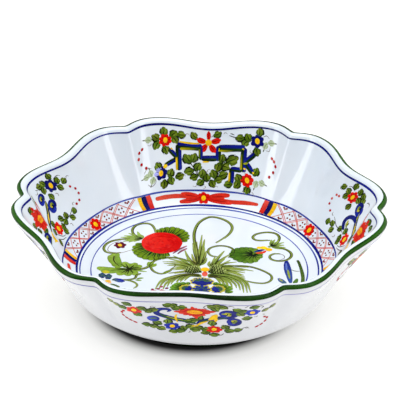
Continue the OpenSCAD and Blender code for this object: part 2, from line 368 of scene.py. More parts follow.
def leaf(pc, zone, x, y, s=3.8, ang=None, col=LEAF, pale=False, tip=True):
    """a rounded wall leaf about 2s long: dark brushed edge, olive body, a light patch and a vein"""
    ang = rng.uniform(0, 360) if ang is None else ang
    a = math.radians(ang); dx, dy = math.cos(a), math.sin(a); nx, ny = -dy, dx
    b = J(0.12) * s
    def ax(k0, k1, o=0.0, bb=0.0):
        m = (k0 + k1) / 2
        return [(x + dx * s * k0 + nx * o * s, y + dy * s * k0 + ny * o * s), (x + dx * s * m + nx * (o * s + b + bb * s), y + dy * s * m + ny * (o * s + b + bb * s)), (x + dx * s * k1 + nx * o * s, y + dy * s * k1 + ny * o * s)]
    if pale:
        stroke(pc, zone, ax(-1, 1), [s * 0.9, s * 1.5, s * 1.62, s * 1.3, s * 0.7], SAGE, h=0.09, col2=(200, 212, 180), edge=0.8, step=1.4)
        stroke(pc, zone, ax(-0.6, 0.9), [0.6, 0.4], (120, 142, 90), h=0.12)
        stroke(pc, zone, [(x + dx * s, y + dy * s), (x + dx * (s + 2.2), y + dy * (s + 2.2))], [1.0, 0.5], (60, 66, 44), h=0.11)
        return
    sg = 1 if rng.random() < 0.5 else -1
    q = J(8); c = tuple(int(np.clip(v + q + J(3), 0, 255)) for v in col)
    lo = (min(255, int(c[0] * 1.45 + 8)), min(255, int(c[1] * 1.28 + 4)), c[2] + 14)
    stroke(pc, zone, ax(-1.05, 1.05), [s * 1.05, s * 1.72, s * 1.86, s * 1.55, s * 0.85], tuple(int(v * 0.42) for v in c), h=0.082, col2=tuple(int(v * 0.5) for v in c), edge=0.9, step=1.5)
    stroke(pc, zone, ax(-0.92, 0.94, 0.12 * sg), [s * 0.85, s * 1.38, s * 1.5, s * 1.22, s * 0.6], c, h=0.105, col2=lo, edge=0.86, step=1.4)
    stroke(pc, zone, ax(-0.35, 0.62, 0.34 * sg), [s * 0.18, s * 0.42, s * 0.2], (min(255, int(c[0] * 1.5 + 18)), min(255, int(c[1] * 1.3 + 14)), c[2] + 24), h=0.118, edge=0.95, step=1.2)
    stroke(pc, zone, ax(-0.55, 0.72, 0.05 * sg, J(0.10)), [0.8, 0.7, 0.3], VEIN, h=0.13, step=1.4)
    o = -0.86 * sg
    stroke(pc, zone, ax(-0.72, 0.80, o * 0.55, o * 0.42), [0.3, 0.75, 0.35], VEIN, h=0.128, step=1.3)

def tendril(pc, zone, x, y, ang, r=1.6, col=BROWN, w=0.38):
    p = []
    for i in range(7):
        q = i / 6.0
        p.append(polar(x, y, r * (0.4 + 1.9 * q), ang + 150 * (1 - q)))
    stroke(pc, zone, p, [w, w * 0.9, w * 0.5], col, h=0.12, step=0.9)

def flower(pc, zone, x, y, r=5.4, n=6, col=RED, rot=None, squash=1.0, cy=YEL, deep=None, pale_side=None):
    rot = rng.uniform(0, 360 / n) if rot is None else rot
    deep = deep or tuple(int(v * 0.72) for v in col)
    for i in range(n):
        a = rot + 360.0 * i / n + J(4)
        c = col if (pale_side is None or i not in pale_side) else LILAC
        p0, p1 = polar(0, 0, r * 0.18, a), polar(0, 0, r * (0.97 + J(0.05)), a)
        pts = [(x + p0[0], y + p0[1] * squash), (x + p1[0], y + p1[1] * squash)]
        stroke(pc, zone, pts, [r * 0.45, r * 0.78, r * 0.95, r * 0.9, r * 0.6], c, h=0.10 + 0.004 * i, col2=tuple(min(255, int(v * 1.1 + 6)) for v in c), edge=0.78, step=1.2)
    for i in range(n):
        a = rot + 360.0 * (i + 0.5) / n
        p0, p1 = polar(0, 0, r * 0.38, a), polar(0, 0, r * 0.72, a)
        stroke(pc, zone, [(x + p0[0], y + p0[1] * squash), (x + p1[0], y + p1[1] * squash)], [0.35, 0.5, 0.2], deep, h=0.145, step=0.8)
    blob(pc, zone, x, y, r * 0.38, cy, h=0.16, sx=0.84, sy=1.1 * squash, rot=J(25), grad=(300, (250, 192, 24)), edge=0.84)
    stroke(pc, zone, [(x - r * 0.1, y - r * 0.14 * squash), (x + r * 0.12, y + r * 0.1 * squash)], [0.25, 0.35], ORANGE, h=0.18, step=0.6)

def star(pc, zone, x, y, r=11.5, col=RED):
    """five separate tapering petals round a yellow centre"""
    for i, a in enumerate((91, 13, 306, 234, 168)):
        p0, p1, p2 = polar(x, y, 1.6, a), polar(x, y, r * 0.55, a + J(3)), polar(x, y, r * (1.0 if i else 0.94), a)
        stroke(pc, zone, [p0, p1, p2], [1.8, 4.2, 5.7, 5.2, 2.2] if i else [1.6, 3.2, 4.0, 3.2, 1.2], col, h=0.11, col2=(226, 30, 16), edge=0.76, step=1.2)
        stroke(pc, zone, [polar(x, y, 3.0, a), polar(x, y, r * 0.8, a)], [0.5, 0.9, 0.3], RED_D, h=0.13, step=1.2)
    blob(pc, zone, x, y, 3.0, YEL, h=0.16, grad=(300, (246, 170, 16)))

def fret(pc, zone, a, b, w=5.4, gold=None, kind=0, blue=1):
    """one bar of the fret: navy and near-black green side by side, with a gold or leaf green edge"""
    a, b = np.asarray(a, float), np.asarray(b, float)
    t = (b - a) / np.linalg.norm(b - a); n = np.array([-t[1], t[0]]) * blue
    a = a - t * w * 0.26; b = b + t * w * 0.26
    def side(o, ww, c, h, c2=None, s=0.0, e=0.0):
        stroke(pc, zone, [a + n * o + t * s, (a + b) / 2 + n * (o + J(0.2)), b + n * o - t * e], [ww * 0.92, ww, ww * 0.94], c, h=h, col2=c2, edge=0.8, step=2.4)
    side(0, w, (8, 14, 34), 0.10)
    side(w * 0.22, w * 0.46, (12, 18, 120), 0.125, (20, 36, 150), 0.6, 0.4)
    side(-w * 0.20, w * 0.40, (14, 34, 12), 0.13, (34, 66, 14), 0.5, 0.8)
    if gold is not None:
        o, s, e = gold
        side(o * blue * w * 0.40, w * 0.32, YEL if kind == 0 else (150, 150, 14), 0.145, (222, 180, 10) if kind == 0 else (60, 100, 16), s, e)

def scroll(pc, zone, pts, w, inner=True):
    """a blue scroll with a green and gold line inside its curve"""
    stroke(pc, zone, pts, w, NAVY, h=0.10, col2=BLUE, edge=0.85, step=1.3)
    if inner:
        q = [0.34 * v for v in (w if isinstance(w, (list, tuple)) else [w])]
        stroke(pc, zone, pts, q, (146, 152, 20), h=0.13, col2=(40, 84, 30), step=1.3)

def dots(pc, zone, pts, pale=(), d=1.4, w=1.0):
    n = len(pts)
    for i, (x, y) in enumerate(pts):
        x0, y0 = pts[max(i - 1, 0)]; x1, y1 = pts[min(i + 1, n - 1)]
        a = math.degrees(math.atan2(y1 - y0, x1 - x0))
        c = (222, 96, 86) if i in pale else (172, 8, 24)
        stroke(pc, zone, [polar(x, y, -d, a), polar(x, y, d, a)], [2.0 * w, 2.8 * w, 2.3 * w], c, h=0.10, col2=(190, 30, 36), step=0.8)

def ring(pc, rho0, w, col, h=0.09, wig=0.12, tone=0.12, th=(0, 360), fade=None, col2=None):
    """a banding line all the way round (or over an arc), slightly uneven in width and strength"""
    full = th[1] - th[0] >= 359.9
    a = np.arange(th[0], th[1], 0.75) if full else np.linspace(th[0], th[1], max(4, int((th[1] - th[0]) / 0.75)))
    k = sd(); r = np.radians(a); g = np.random.default_rng(k); p = g.uniform(0, 6.28, 4)
    m = wig * (0.6 * np.sin(3 * r + p[0]) + 0.4 * np.sin(7 * r + p[1]))
    ww = w * (1 + 0.16 * np.sin(5 * r + p[2]) + 0.12 * np.sin(11 * r + p[3]))
    tn = 1 + tone * (np.sin(4 * r + p[1]) + 0.7 * np.sin(13 * r + p[0]) + 0.5 * np.sin(29 * r + p[2])) / 2
    base = lin(col)[None] * tn[:, None]
    if col2 is not None:
        q = np.clip(0.5 + 0.5 * np.sin(2 * r + p[3]) + 0.3 * np.sin(9 * r + p[0]), 0, 1)[:, None]
        base = base * (1 - q) + lin(col2) * q
    nc = 3 if w < 2.2 else 5
    off = np.linspace(-0.5, 0.5, nc)
    th_, rho_, c_ = [], [], []
    for o in off:
        th_.append(a); rho_.append(rho0 + m + o * ww)
        c_.append(np.clip(base * (0.88 if abs(o) == 0.5 else 1.04), 0, 1))
    TH, RH, CC = np.stack(th_, 1).ravel(), np.stack(rho_, 1).ravel(), np.stack(c_, 1).reshape(-1, 3)
    n = len(a); F = []
    for i in range(n if full else n - 1):
        i2 = (i + 1) % n
        for j in range(nc - 1):
            F.append((i * nc + j, i * nc + j + 1, i2 * nc + j + 1, i2 * nc + j))
    # rho grows outward and theta turns left, so this winding faces away from the clay
    pc.add(lambda P: (P[:, 0], P[:, 1]), np.stack([TH, RH], -1), F, CC, h)

# ------------------------------------------------------------------ the well
well_green, well_flowers, well_grass = Piece("well_leaves", "paint_green"), Piece("well_flowers", "paint_border"), Piece("well_grass", "paint_green")
G, W, B = well_green, well_flowers, well_grass

def curl(pc, pts, w=1.9, col=(112, 132, 42), dark=True, h=0.09, zone=z_floor):
    w = w * 1.12
    stroke(pc, zone, pts, [w * 0.5, w, w, w * 0.9, w * 0.45], col, h=h, col2=(142, 160, 76), step=1.5)
    q = np.asarray(spline(pts)); d = np.gradient(q, axis=0); d /= np.maximum(np.linalg.norm(d, axis=1, keepdims=True), 1e-9)
    n = np.stack([d[:, 1], -d[:, 0]], -1)
    if dark:
        stroke(pc, zone, (q + n * w * 0.40)[::8], [w * 0.16, w * 0.38, w * 0.32, w * 0.12], (44, 42, 14), h=h + 0.04, step=1.5)
    stroke(pc, zone, (q - n * w * 0.42)[4:-4:9], [w * 0.08, w * 0.17, w * 0.14, w * 0.06], (72, 66, 26), h=h + 0.045, step=1.5)

def fan(pc, cx, cy, r0, r1, a0, a1, n, zone=z_floor):
    """a ruff of rounded lobes round a carnation, with dark strokes between them"""
    for i in range(n):
        f = (i + 0.5) / n; a = a0 + (a1 - a0) * f
        k = math.sin(math.pi * min(max(f, 0.06), 0.94)) ** 0.45
        rr = r0 + (r1 - r0) * k + J(0.5); ww = (a1 - a0) / n * math.pi / 180 * rr * 1.14
        c = (90 + int(J(8)), 122 + int(J(8)), 8)
        stroke(pc, zone, [polar(cx, cy, r0 * 0.82, a), polar(cx, cy, rr, a)], [ww * 0.8, ww * 0.9, ww * 1.0, ww], c, h=0.085 + 0.006 * (i % 3), col2=(112, 144, 22), edge=0.66, step=1.3)
    for i in range(2 * n):
        a = a0 + (a1 - a0) * (i + 0.5 + J(0.2)) / (2 * n)
        f = (i + 0.5) / (2 * n); k = math.sin(math.pi * min(max(f, 0.06), 0.94)) ** 0.45
        rr = r0 + (r1 - r0) * k; q = 0.80 if i % 2 else 0.52
        stroke(pc, zone, [polar(cx, cy, r0 * 0.98, a), polar(cx, cy, r0 + (rr - r0) * (q + J(0.10)), a + J(2))], [1.2, 0.95, 0.25], (26, 40, 12), h=0.125, step=1.5)
    for i in range(n):
        a = a0 + (a1 - a0) * (i + 1.0) / n
        if i == n - 1: break
        f = (i + 1.0) / n; k = math.sin(math.pi * min(max(f, 0.06), 0.94)) ** 0.45
        rr = r0 + (r1 - r0) * k
        stroke(pc, zone, [polar(cx, cy, rr * 0.86, a), polar(cx, cy, rr * 1.0, a + J(1.2))], [0.5, 0.8, 0.3], (40, 60, 18), h=0.127, step=1.2)

# red carnation
CX, CY = -34.6, 40.6
fan(G, CX, CY, 16.5, 29.4, 10, 108, 10)
fan(G, CX, CY, 16.5, 31.0, 186, 292, 10)
for (x0, y0, x1, y1) in ((-24, 24, -13, 37.5), (-20, 23.5, -12.5, 33.5), (-25, 26.5, -17, 33)):
    stroke(W, z_floor, [(x0, y0), ((x0 + x1) / 2 - 0.6, (y0 + y1) / 2 + 0.4), (x1, y1)], [1.2, 2.0, 2.3, 1.4], (112, 26, 62), h=0.12, col2=(168, 92, 118), step=1.3)
blob(W, z_floor, CX, CY, lambda a: 17.4 + 0.14 * math.sin(math.radians(7 * a)) + 0.10 * math.sin(math.radians(13 * a + 40)), (230, 40, 28), h=0.13, grad=(-22, (204, 0, 0)), edge=0.84, tone=0.05)
for i in range(46):
    a = rng.uniform(0, 360); r = 15.6 * math.sqrt(rng.uniform(0.01, 1)); b = a + rng.uniform(24, 62)
    f = min(1.0, 0.74 + 0.55 * math.cos(math.radians(a + 22)) * r / 15)
    c = tuple(int(u * (1 - f) + v * f) for u, v in zip((230, 36, 24), (204, 0, 0)))
    s = rng.uniform(-8, 5)
    c = tuple(int(np.clip(v + s * (1.0 if k == 0 else 1.3), 0, 255)) for k, v in enumerate(c))
    stroke(W, z_floor, [polar(CX, CY, r, a), polar(CX, CY, r * 1.01, (a + b) / 2), polar(CX, CY, r * 0.97, b)], [0.7, 2.0, 2.4, 0.8], c, h=0.134 + 0.0012 * i, edge=0.98, step=1.6, tone=0.05)

# tuft with its curls, left of the carnation
curl(G, [(-56, 47), (-60.5, 54), (-61.5, 61), (-58.5, 68), (-52, 71.5), (-46, 70), (-42.5, 63), (-41, 57)], 2.1)
curl(G, [(-62, 45.5), (-70, 43), (-77, 39.5), (-81.5, 34), (-83, 27), (-80.5, 21.5), (-75, 20), (-68, 22)], 2.0)
stroke(G, z_floor, [(-70, 41), (-77, 34.5), (-79.6, 27), (-77.5, 22), (-68, 21.5), (-60, 26.5), (-53.5, 29.5)], [0.3, 0.6, 0.55, 0.5, 0.3], (124, 104, 92), h=0.10)
for k, (x, y) in enumerate([(-72, 43.5), (-70.5, 46.5), (-68, 49.5), (-64.5, 54), (-61, 52.5), (-57, 57.5), (-54.5, 53), (-68, 40), (-63, 39.2), (-58.5, 40.5)]):
    stroke(G, z_floor, [(-51.5, 46.4), ((x - 51.5) / 2 + J(0.8), (y + 46.4) / 2 + J(0.8)), (x, y)], [1.2, 2.9, 3.4, 2.2, 1.0], (132 + int(J(14)), 160 + int(J(10)), 74), h=0.09 + 0.003 * k, col2=OLIVE_L, edge=0.76)
for k in range(9):
    a = 150 + 8 * k + J(3)
    stroke(G, z_floor, [polar(-51.3, 46.4, 0.5, a), polar(-51.3, 46.4, 6.5 + J(2), a + J(3))], [0.9, 0.6, 0.2], (44, 48, 26), h=0.135, step=1.3)
for k in range(5):
    y = 42.6 + 1.6 * k
    stroke(G, z_floor, [(-54 - k * 0.5, y), (-57.5 - k * 0.4, y + 0.6)], [0.35, 0.5, 0.2], (44, 48, 26), h=0.14, step=1.0)
flower(W, z_floor, -69.9, 33.6, r=5.6, n=6, col=(88, 12, 40), rot=12, cy=(240, 196, 40))

# big olive leaf group at the left
def lobe(pc, pts, w, c=(122, 154, 46), c2=(142, 172, 62), h=0.09, edge=0.78):
    stroke(pc, z_floor, pts, w, c, h=h, col2=c2, edge=edge, step=1.4)
lobe(G, [(-68, -4), (-70, 4), (-73.5, 12), (-73, 19.5)], [5, 9.5, 10.5, 10, 6.5])
lobe(G, [(-66, -2), (-68, 6), (-70.5, 14), (-70, 20)], [3, 4.5, 5, 3.2], (108, 144, 44), (134, 168, 60), h=0.10)
lobe(G, [(-59, -3), (-62, 2), (-64, 7)], [3.5, 7, 8.5, 6.5])
lobe(G, [(-57, -3), (-55, 3), (-52.5, 5.5)], [3.5, 6.5, 8, 6])
lobe(G, [(-57, -3), (-52, 0), (-48.5, 2.5)], [3, 5.5, 6.5, 5], (112, 148, 46))
lobe(G, [(-60, -4), (-68, -6.5), (-76, -7), (-82, -5.8), (-85.5, -4)], [3, 7, 8.5, 7.6, 6.0])
lobe(G, [(-61, -5), (-70, -9), (-77, -10.5), (-82, -10)], [2.5, 5.5, 5.5, 3.6], (112, 148, 46), (140, 172, 64), h=0.095)
lobe(G, [(-59, -5), (-64, -10), (-67.5, -14.5)], [4, 8, 9.5, 7])
lobe(G, [(-58, -5), (-58.5, -11), (-59.5, -15.5)], [3.5, 7, 8, 6], (116, 150, 48))
lobe(G, [(-57, -5), (-54, -9.5), (-53, -14)], [3, 6, 7, 4.6])
lobe(G, [(-57, -4), (-50, -6), (-43.5, -7.2)], [2.6, 3.6, 2.4, 0.8])
stroke(G, z_floor, [(-73.2, 15.5), (-73, 9), (-70.5, 3.5), (-67.5, 0)], [0.8, 1.2, 1.0, 0.4], (58, 54, 28), h=0.13)
for k, (x, y) in enumerate([(-66, 3), (-62.5, 4.5), (-54.5, 3.5), (-50.5, -0.5), (-66, -6.2), (-74, -8), (-65, -12), (-59.3, -13), (-54.5, -10.5), (-52, -5.2), (-70.5, -4.4), (-61.5, -10.5)]):
    stroke(G, z_floor, [(-58.6 + J(0.5), -3.8 + J(0.5)), ((x - 58.6) / 2 + J(0.4), (y - 3.8) / 2 + J(0.4)), (x, y)], [1.7, 1.15, 0.4], (40, 46, 16), h=0.135, step=1.5)
curl(G, [(-55, -3), (-49, -3), (-45, -1), (-42, 3), (-40.5, 7)], 2.4)
lobe(G, [(-42, 1), (-41.5, 6), (-39.5, 9.5)], [3, 5.6, 6.2, 3.6], (112, 146, 48), h=0.10)
lobe(G, [(-41.5, 0.5), (-38.6, 3.6), (-36.6, 6.6)], [2, 3.8, 4.2, 2], h=0.104)
curl(G, [(-48, -10.5), (-51.5, -13.5), (-52.5, -18.5), (-58, -21.5), (-64, -22)], 1.9)
curl(G, [(-64, -22), (-57.5, -22.4), (-52, -25.5), (-49.8, -30), (-52.5, -35)], 1.9, dark=False)
lobe(G, [(-51, -19.5), (-47.5, -17.8), (-45.4, -17.6)], [1.6, 2.6, 1.2], (112, 146, 48), h=0.10)
lobe(G, [(-52, -21), (-49, -21.5), (-46.6, -22)], [1.4, 2.2, 1.0], (112, 146, 48), h=0.10)
stroke(G, z_floor, [(-72, -29.5), (-68, -31), (-64, -33)], [1.6, 2.2, 1.0], (74, 100, 40), h=0.10)
# berries and pod
for (x, y) in ((-80.3, -17.0), (-74.8, -18.0)):
    blob(W, z_floor, x, y, lambda a: 3.9 + 0.35 * math.sin(math.radians(5 * a)), (24, 36, 112), h=0.12, sx=0.76, sy=1.12, grad=(80, (48, 78, 110)))
    for k in range(3):
        stroke(W, z_floor, [(x - 2 + k * 1.6, y - 2.2), (x - 1.4 + k * 1.6, y + 2.2)], [0.5, 0.9, 0.4], (70, 104, 60), h=0.15, step=1.0)
blob(W, z_floor, -77.6, -10.9, 2.9, (196, 190, 40), h=0.15, sx=1.1, sy=0.9); blob(W, z_floor, -74.5, -25.3, 2.0, (240, 190, 60), h=0.14, sx=1.3); blob(W, z_floor, -72.8, -27.4, 1.4, (240, 180, 120), h=0.15)
stroke(W, z_floor, [(-71.5, -23.0), (-67.7, -22.4), (-62, -25.6)], [2.0, 5.0, 5.2, 2.8], (70, 100, 76), h=0.12, col2=(50, 66, 170))
stroke(W, z_floor, [(-68.5, -20.8), (-64.4, -21.8), (-60.8, -24.8)], [1.2, 2.8, 1.8], (34, 46, 160), h=0.14)

# grass tuft in the middle
HX, HY = 4.5, -1.5
def blade(x0, y0, pts, w, k=0, dark=True, c=None, c2=(156, 172, 84)):
    c = c or (124 + int(J(16)), 140 + int(J(12)), 46 + int(J(12)))
    stroke(B, z_floor, [(x0, y0)] + pts, [w * 0.8, w, w, w * 0.85, w * 0.35], c, h=0.085 + 0.0012 * (k % 30), col2=c2, edge=0.76, step=2.0)
    if dark:
        q = spline([(x0, y0)] + pts); d = np.gradient(q, axis=0); d /= np.maximum(np.linalg.norm(d, axis=1, keepdims=True), 1e-9)
        s = 1 if (k % 3) else -1
        q = q + np.stack([d[:, 1], -d[:, 0]], -1) * w * 0.36 * s
        m = int(len(q) * rng.uniform(0.6, 0.98))
        stroke(B, z_floor, q[2:m:7], [w * 0.34, w * 0.36, w * 0.28, 0.16], (50 + int(J(12)), 58 + int(J(10)), 16), h=0.130 + 0.0008 * (k % 30), step=2.0)
n = 0
# long left-hand blades
for i, (mx, my, ex, ey) in enumerate([(-14, 13, -23.5, 20.6), (-10, 18, -14.2, 30), (-18, 9.4, -31.8, 10.0), (-17, 7, -30.6, 7.4), (-15, 10.5, -27.2, 15.6), (-16, 5, -27.6, 4.4), (-13, 2.6, -21.9, 2.2),
        (-14, -0.6, -21.9, -2.5), (-14, -4.4, -25.4, -8.6), (-12, -5.0, -20.4, -8.3), (-8, 11, -12, 17.6), (-13, 1, -24, -0.4)]):
    blade(HX - 6 + J(1), HY + 2 + J(1.5), [(mx + J(0.6), my + J(0.6)), (ex, ey)], 2.4 + J(0.3), n); n += 1
# the long loop to the left leaf
curl(B, [(-4, 7), (-7.2, 10.6), (-16.8, 16), (-27.2, 16.8), (-37.2, 12.3), (-41.1, 3.1), (-38, -5.7), (-31.4, -9.5), (-25.4, -5.5), (-22, 0.6)], 2.0)
stroke(B, z_floor, [(-22, 9), (-20.5, 5), (-22.5, 0.5), (-26, -4.5), (-29.5, -8.5)], [0.4, 0.8, 0.7, 0.4], (84, 80, 40), h=0.12)
lobe(B, [(-30, -9.5), (-27, -6), (-24.2, -3)], [1.5, 3, 2.6, 0.8], h=0.10)
# upward blades
for i, (mx, my, ex, ey) in enumerate([(-5, 24, -8.3, 42.8), (-1.6, 30, -1.3, 56.8), (-3.4, 24, -5.2, 45.3), (0.4, 26, 1.3, 49.6), (1.4, 20, 2.1, 36.3), (2.6, 18, 4, 30.5), (3.4, 11, 5.2, 19.7), (-5.6, 15, -8, 24.7), (-7, 12, -10.8, 18.3), (-2.6, 18, -3.4, 33)]):
    blade(HX - 5.5 + J(1.2), HY + 7 + J(1), [(mx, my), (ex, ey)], 2.7 + J(0.3), n); n += 1
curl(B, [(-2.5, 8), (-4.4, 30), (-7.2, 46), (-8.2, 60), (-6, 74.5), (-1, 83), (5, 87), (14, 84.5), (21.6, 77.5), (24, 68.5), (20.6, 57), (11.6, 44)], 2.3)
# blades between the hub and the second curl
for i, (mx, my, ex, ey) in enumerate([(7.6, 8, 7.9, 13.9), (10, 9, 10.8, 15.9), (11, 13, 12, 22.1), (13.4, 14, 17, 25.7), (13.6, 17, 19.3, 31.8), (17, 16, 23.8, 26), (16, 11, 20.4, 18.6), (19, 10, 25.2, 17)]):
    blade(HX + 5.5 + J(1.2), HY + 4 + J(1.2), [(mx, my), (ex, ey)], 2.6 + J(0.3), n); n += 1
curl(B, [(23, 21), (27, 29), (25.5, 36), (19.5, 39.4), (12.5, 39), (6.6, 34.5), (5.8, 28), (9.4, 22.5), (16, 21.8)], 1.9)
# right-hand blades
for i, (mx, my, ex, ey) in enumerate([(24, 5.2, 45.6, 0.6), (25, 3, 38.4, 0.2), (26, 0.2, 38.7, -2.9), (26, -2.6, 38.8, -9.7), (24, -4.8, 39.1, -11.8), (22, 8, 41.1, 6.1), (26, -1.4, 37.8, -6.8), (20, 10.6, 31, 14.4)]):
    blade(HX + 9 + J(1.6), HY + 2 + J(1.6), [(mx, my), (ex, ey)], 2.5 + J(0.3), n); n += 1
curl(B, [(15, 5), (19.6, 5.8), (29.8, 8), (41.3, 7.7), (51.5, 2.9), (60.2, -5.3), (60.4, -13.9), (54.5, -18.5), (46.3, -17.8), (39.1, -15.4)], 1.9)
# drooping blades
for i, p in enumerate([[(-11, -8.6), (-22.8, -14.1), (-30.5, -20.6), (-34.5, -34.5)], [(-10.9, -9.4), (-20.7, -16.3), (-26.1, -24.2), (-28, -34)], [(-8.8, -10.3), (-15.7, -13.6), (-20.3, -19.8), (-22, -25.9)],
        [(-7.8, -10.7), (-12.7, -13.3), (-16.4, -18.6), (-17.3, -23.5)], [(-5.7, -11), (-8.6, -13), (-11.3, -19.3)],
        [(17.2, -5.3), (30.5, -8.2), (40.4, -17.5), (44.6, -33.9)], [(16.4, -8.4), (27.7, -10.5), (36.3, -19.5), (38.9, -34.5)], [(15.3, -9.4), (23.7, -12.6), (30.3, -20.2), (32.7, -27.7)],
        [(14.5, -10.7), (19.7, -13), (24.1, -20.4), (25.5, -28.1)], [(13.4, -11.4), (16.6, -15), (19.1, -22.6)],
        [(-9.9, -8.8), (-21.9, -15.0), (-28.6, -22.2), (-31.4, -34.2)], [(-9.4, -9.9), (-18.0, -14.8), (-23.2, -22.0), (-24.8, -29.6)], [(-6.8, -10.9), (-10.7, -13.2), (-14.0, -19.0), (-14.4, -21.4)],
        [(16.9, -6.8), (29.0, -9.3), (38.6, -18.5), (41.8, -34.2)], [(15.7, -8.9), (25.8, -11.5), (33.4, -19.8), (35.8, -30.8)], [(14.9, -10.0), (21.6, -12.8), (27.2, -20.3), (29.0, -27.9)], [(14.0, -11.0), (18.2, -14.0), (21.6, -21.5), (22.2, -24.6)]]):
    x0 = 2.2 if p[0][0] < 0 else 7.8
    blade(x0 + J(0.6), min(p[0][1], -7.6) - 0.3 + J(0.3), p, 2.5 + J(0.25), n, c=(120 + int(J(10)), 140 + int(J(8)), 46), c2=(150, 168, 78)); n += 1
# close green ground on both sides of the bud, with a dark woven mesh over it
def lerp(P, t):
    x = np.linspace(0, 1, len(P)); P = np.asarray(P, float)
    return (float(np.interp(t, x, P[:, 0])), float(np.interp(t, x, P[:, 1])))
for base, top, m in (([(-11.4, -6.4), (-4, -6.8), (1.8, -5.2)], [(-13.2, -0.6), (-9.4, 4.4), (-4.8, 6.8), (-0.4, 4.6)], 8), ([(7.8, -4.6), (13, -7.2), (20.6, -6.4)], [(9.0, 5.0), (12.6, 9.2), (17.2, 8.2), (23.4, -0.6)], 8)):
    for k in range(m):
        t = (k + 0.5) / m
        a, b = lerp(base, t), lerp(top, t)
        stroke(B, z_floor, [a, ((a[0] + b[0]) / 2 + J(0.5), (a[1] + b[1]) / 2), b], [2.0, 2.6, 2.5, 1.6], (132 + int(J(14)), 152 + int(J(10)), 64 + int(J(10))), h=0.150 + 0.001 * k, col2=(170, 186, 104), edge=0.84, step=2.0)
    for k in range(m):
        t = k / (m - 1.0)
        for d, c, h in ((0.34, (22, 27, 8), 0.168), (-0.34, (30, 34, 10), 0.180)):
            u = min(max(t + d, 0.0), 1.0)
            f = 1.0 if abs(u - t - d) < 1e-6 else max(0.3, abs(u - t) / abs(d))
            a, b = lerp(base, t), lerp(top, u)
            q = 0.97 * f
            stroke(B, z_floor, [a, (a[0] + (b[0] - a[0]) * q * 0.5 + J(0.4), a[1] + (b[1] - a[1]) * q * 0.5), (a[0] + (b[0] - a[0]) * q, a[1] + (b[1] - a[1]) * q)], [0.9, 0.86, 0.7, 0.3], c, h=h + 0.001 * k, step=2.0)
blob(W, z_floor, 4.8, 0.0, 3.4, YEL, h=0.20, sx=1.06, sy=1.0, grad=(280, (246, 170, 20))); blob(W, z_floor, 5.0, -7.2, 2.5, (226, 66, 48), h=0.195, sx=0.95, sy=1.55, grad=(270, (240, 112, 88)))

# blue carnation at the front of the well
BX, BY = 4.5, -33.5
def ruff(inner, outer, m, w=5.6):
    """scalloped green lobes from an inner edge to an outer edge"""
    for k in range(m):
        t = (k + 0.5) / m; a, b = lerp(inner, t), lerp(outer, t)
        stroke(G, z_floor, [a, b], [w * 0.8, w, w, w * 0.9], (92 + int(J(8)), 140 + int(J(8)), 30), h=0.088 + 0.005 * (k % 3), col2=(112, 160, 44), edge=0.7, step=1.3)
    for k in range(2 * m):
        t = (k + 0.5) / (2 * m); a, b = lerp(inner, t), lerp(outer, t); q = 0.86 if k % 2 else 0.6
        stroke(G, z_floor, [a, (a[0] + (b[0] - a[0]) * q, a[1] + (b[1] - a[1]) * q)], [1.0, 0.85, 0.25], (28, 42, 14), h=0.128, step=1.3)
ruff([(-13, -37), (-13.4, -31), (-11.5, -26.6), (-5.5, -24.6)], [(-23.0, -36.5), (-22.4, -28.4), (-19.2, -23.8), (-14.8, -21.8), (-6.4, -20.8)], 7, 4.6)
ruff([(12.6, -24.0), (17.5, -24.6), (22.4, -28.8), (23.4, -36)], [(14.4, -18.6), (20.2, -21.4), (25.6, -23.2), (29.4, -26.8), (30.4, -36)], 7, 4.6)
fan(G, BX, BY, 16, 28, 198, 344, 13)
for (x, y, r, sx, sy, a0, a1) in ((17.2, -30.2, 6.2, 1.0, 1.0, -70, 120), (-9.0, -31.0, 5.8, 1.0, 1.0, 60, 250), (-6.5, -42.5, 8.2, 1.0, 1.0, 150, 330), (15.0, -42.5, 8.2, 1.0, 1.0, 210, 390), (3.6, -32.2, 7.6, 1.08, 1.04, 0, 360), (3.4, -19.4, 8.9, 1.12, 0.74, 0, 180)):
    blob(W, z_floor, x, y, lambda a, r=r: r + 0.45 * math.sin(math.radians(9 * a)), (214, 196, 30), h=0.150, sx=sx, sy=sy)
    blob(W, z_floor, x, y, lambda a, r=r: r - 0.9 + 0.55 * math.sin(math.radians(9 * a)), (16, 24, 112), h=0.162, sx=sx, sy=sy, grad=(120, (34, 50, 150)), tone=0.14)
    for k in range(9):
        a = a0 + (a1 - a0) * (k + 0.5) / 9; c_, s_ = math.cos(math.radians(a)), math.sin(math.radians(a))
        stroke(W, z_floor, [(x + sx * r * 0.2 * c_, y + sy * r * 0.2 * s_), (x + sx * r * (0.74 + J(0.08)) * c_, y + sy * r * 0.74 * s_)], [0.6, 1.25, 0.4], (62, 96, 52), h=0.178, step=1.2)
        blob(W, z_floor, x + sx * r * 0.76 * math.cos(math.radians(a + 9)), y + sy * r * 0.76 * math.sin(math.radians(a + 9)), 0.8, (176, 176, 60), h=0.186)
for (p0, p1, c) in (((-38.0, -34.9), (-35.4, -34.5), (120, 24, 52)), ((-33.7, -33.6), (-30.4, -33.8), (140, 30, 60)), ((-30.8, -31.0), (-28.4, -29.2), (168, 60, 90)), ((-26.4, -32.9), (-23.6, -31.2), (120, 24, 52))):
    stroke(W, z_floor, [p0, p1], [1.8, 2.6, 1.8], c, h=0.15, step=1.2)
for (x, y) in ((-36, -38), (-28.5, -37.5), (-24.5, -42), (36, -42), (44.5, -40)):
    flower(W, z_floor, x, y, r=3.4, n=5, col=(190, 36, 36) if x < 0 else (88, 12, 40), cy=(240, 196, 40))

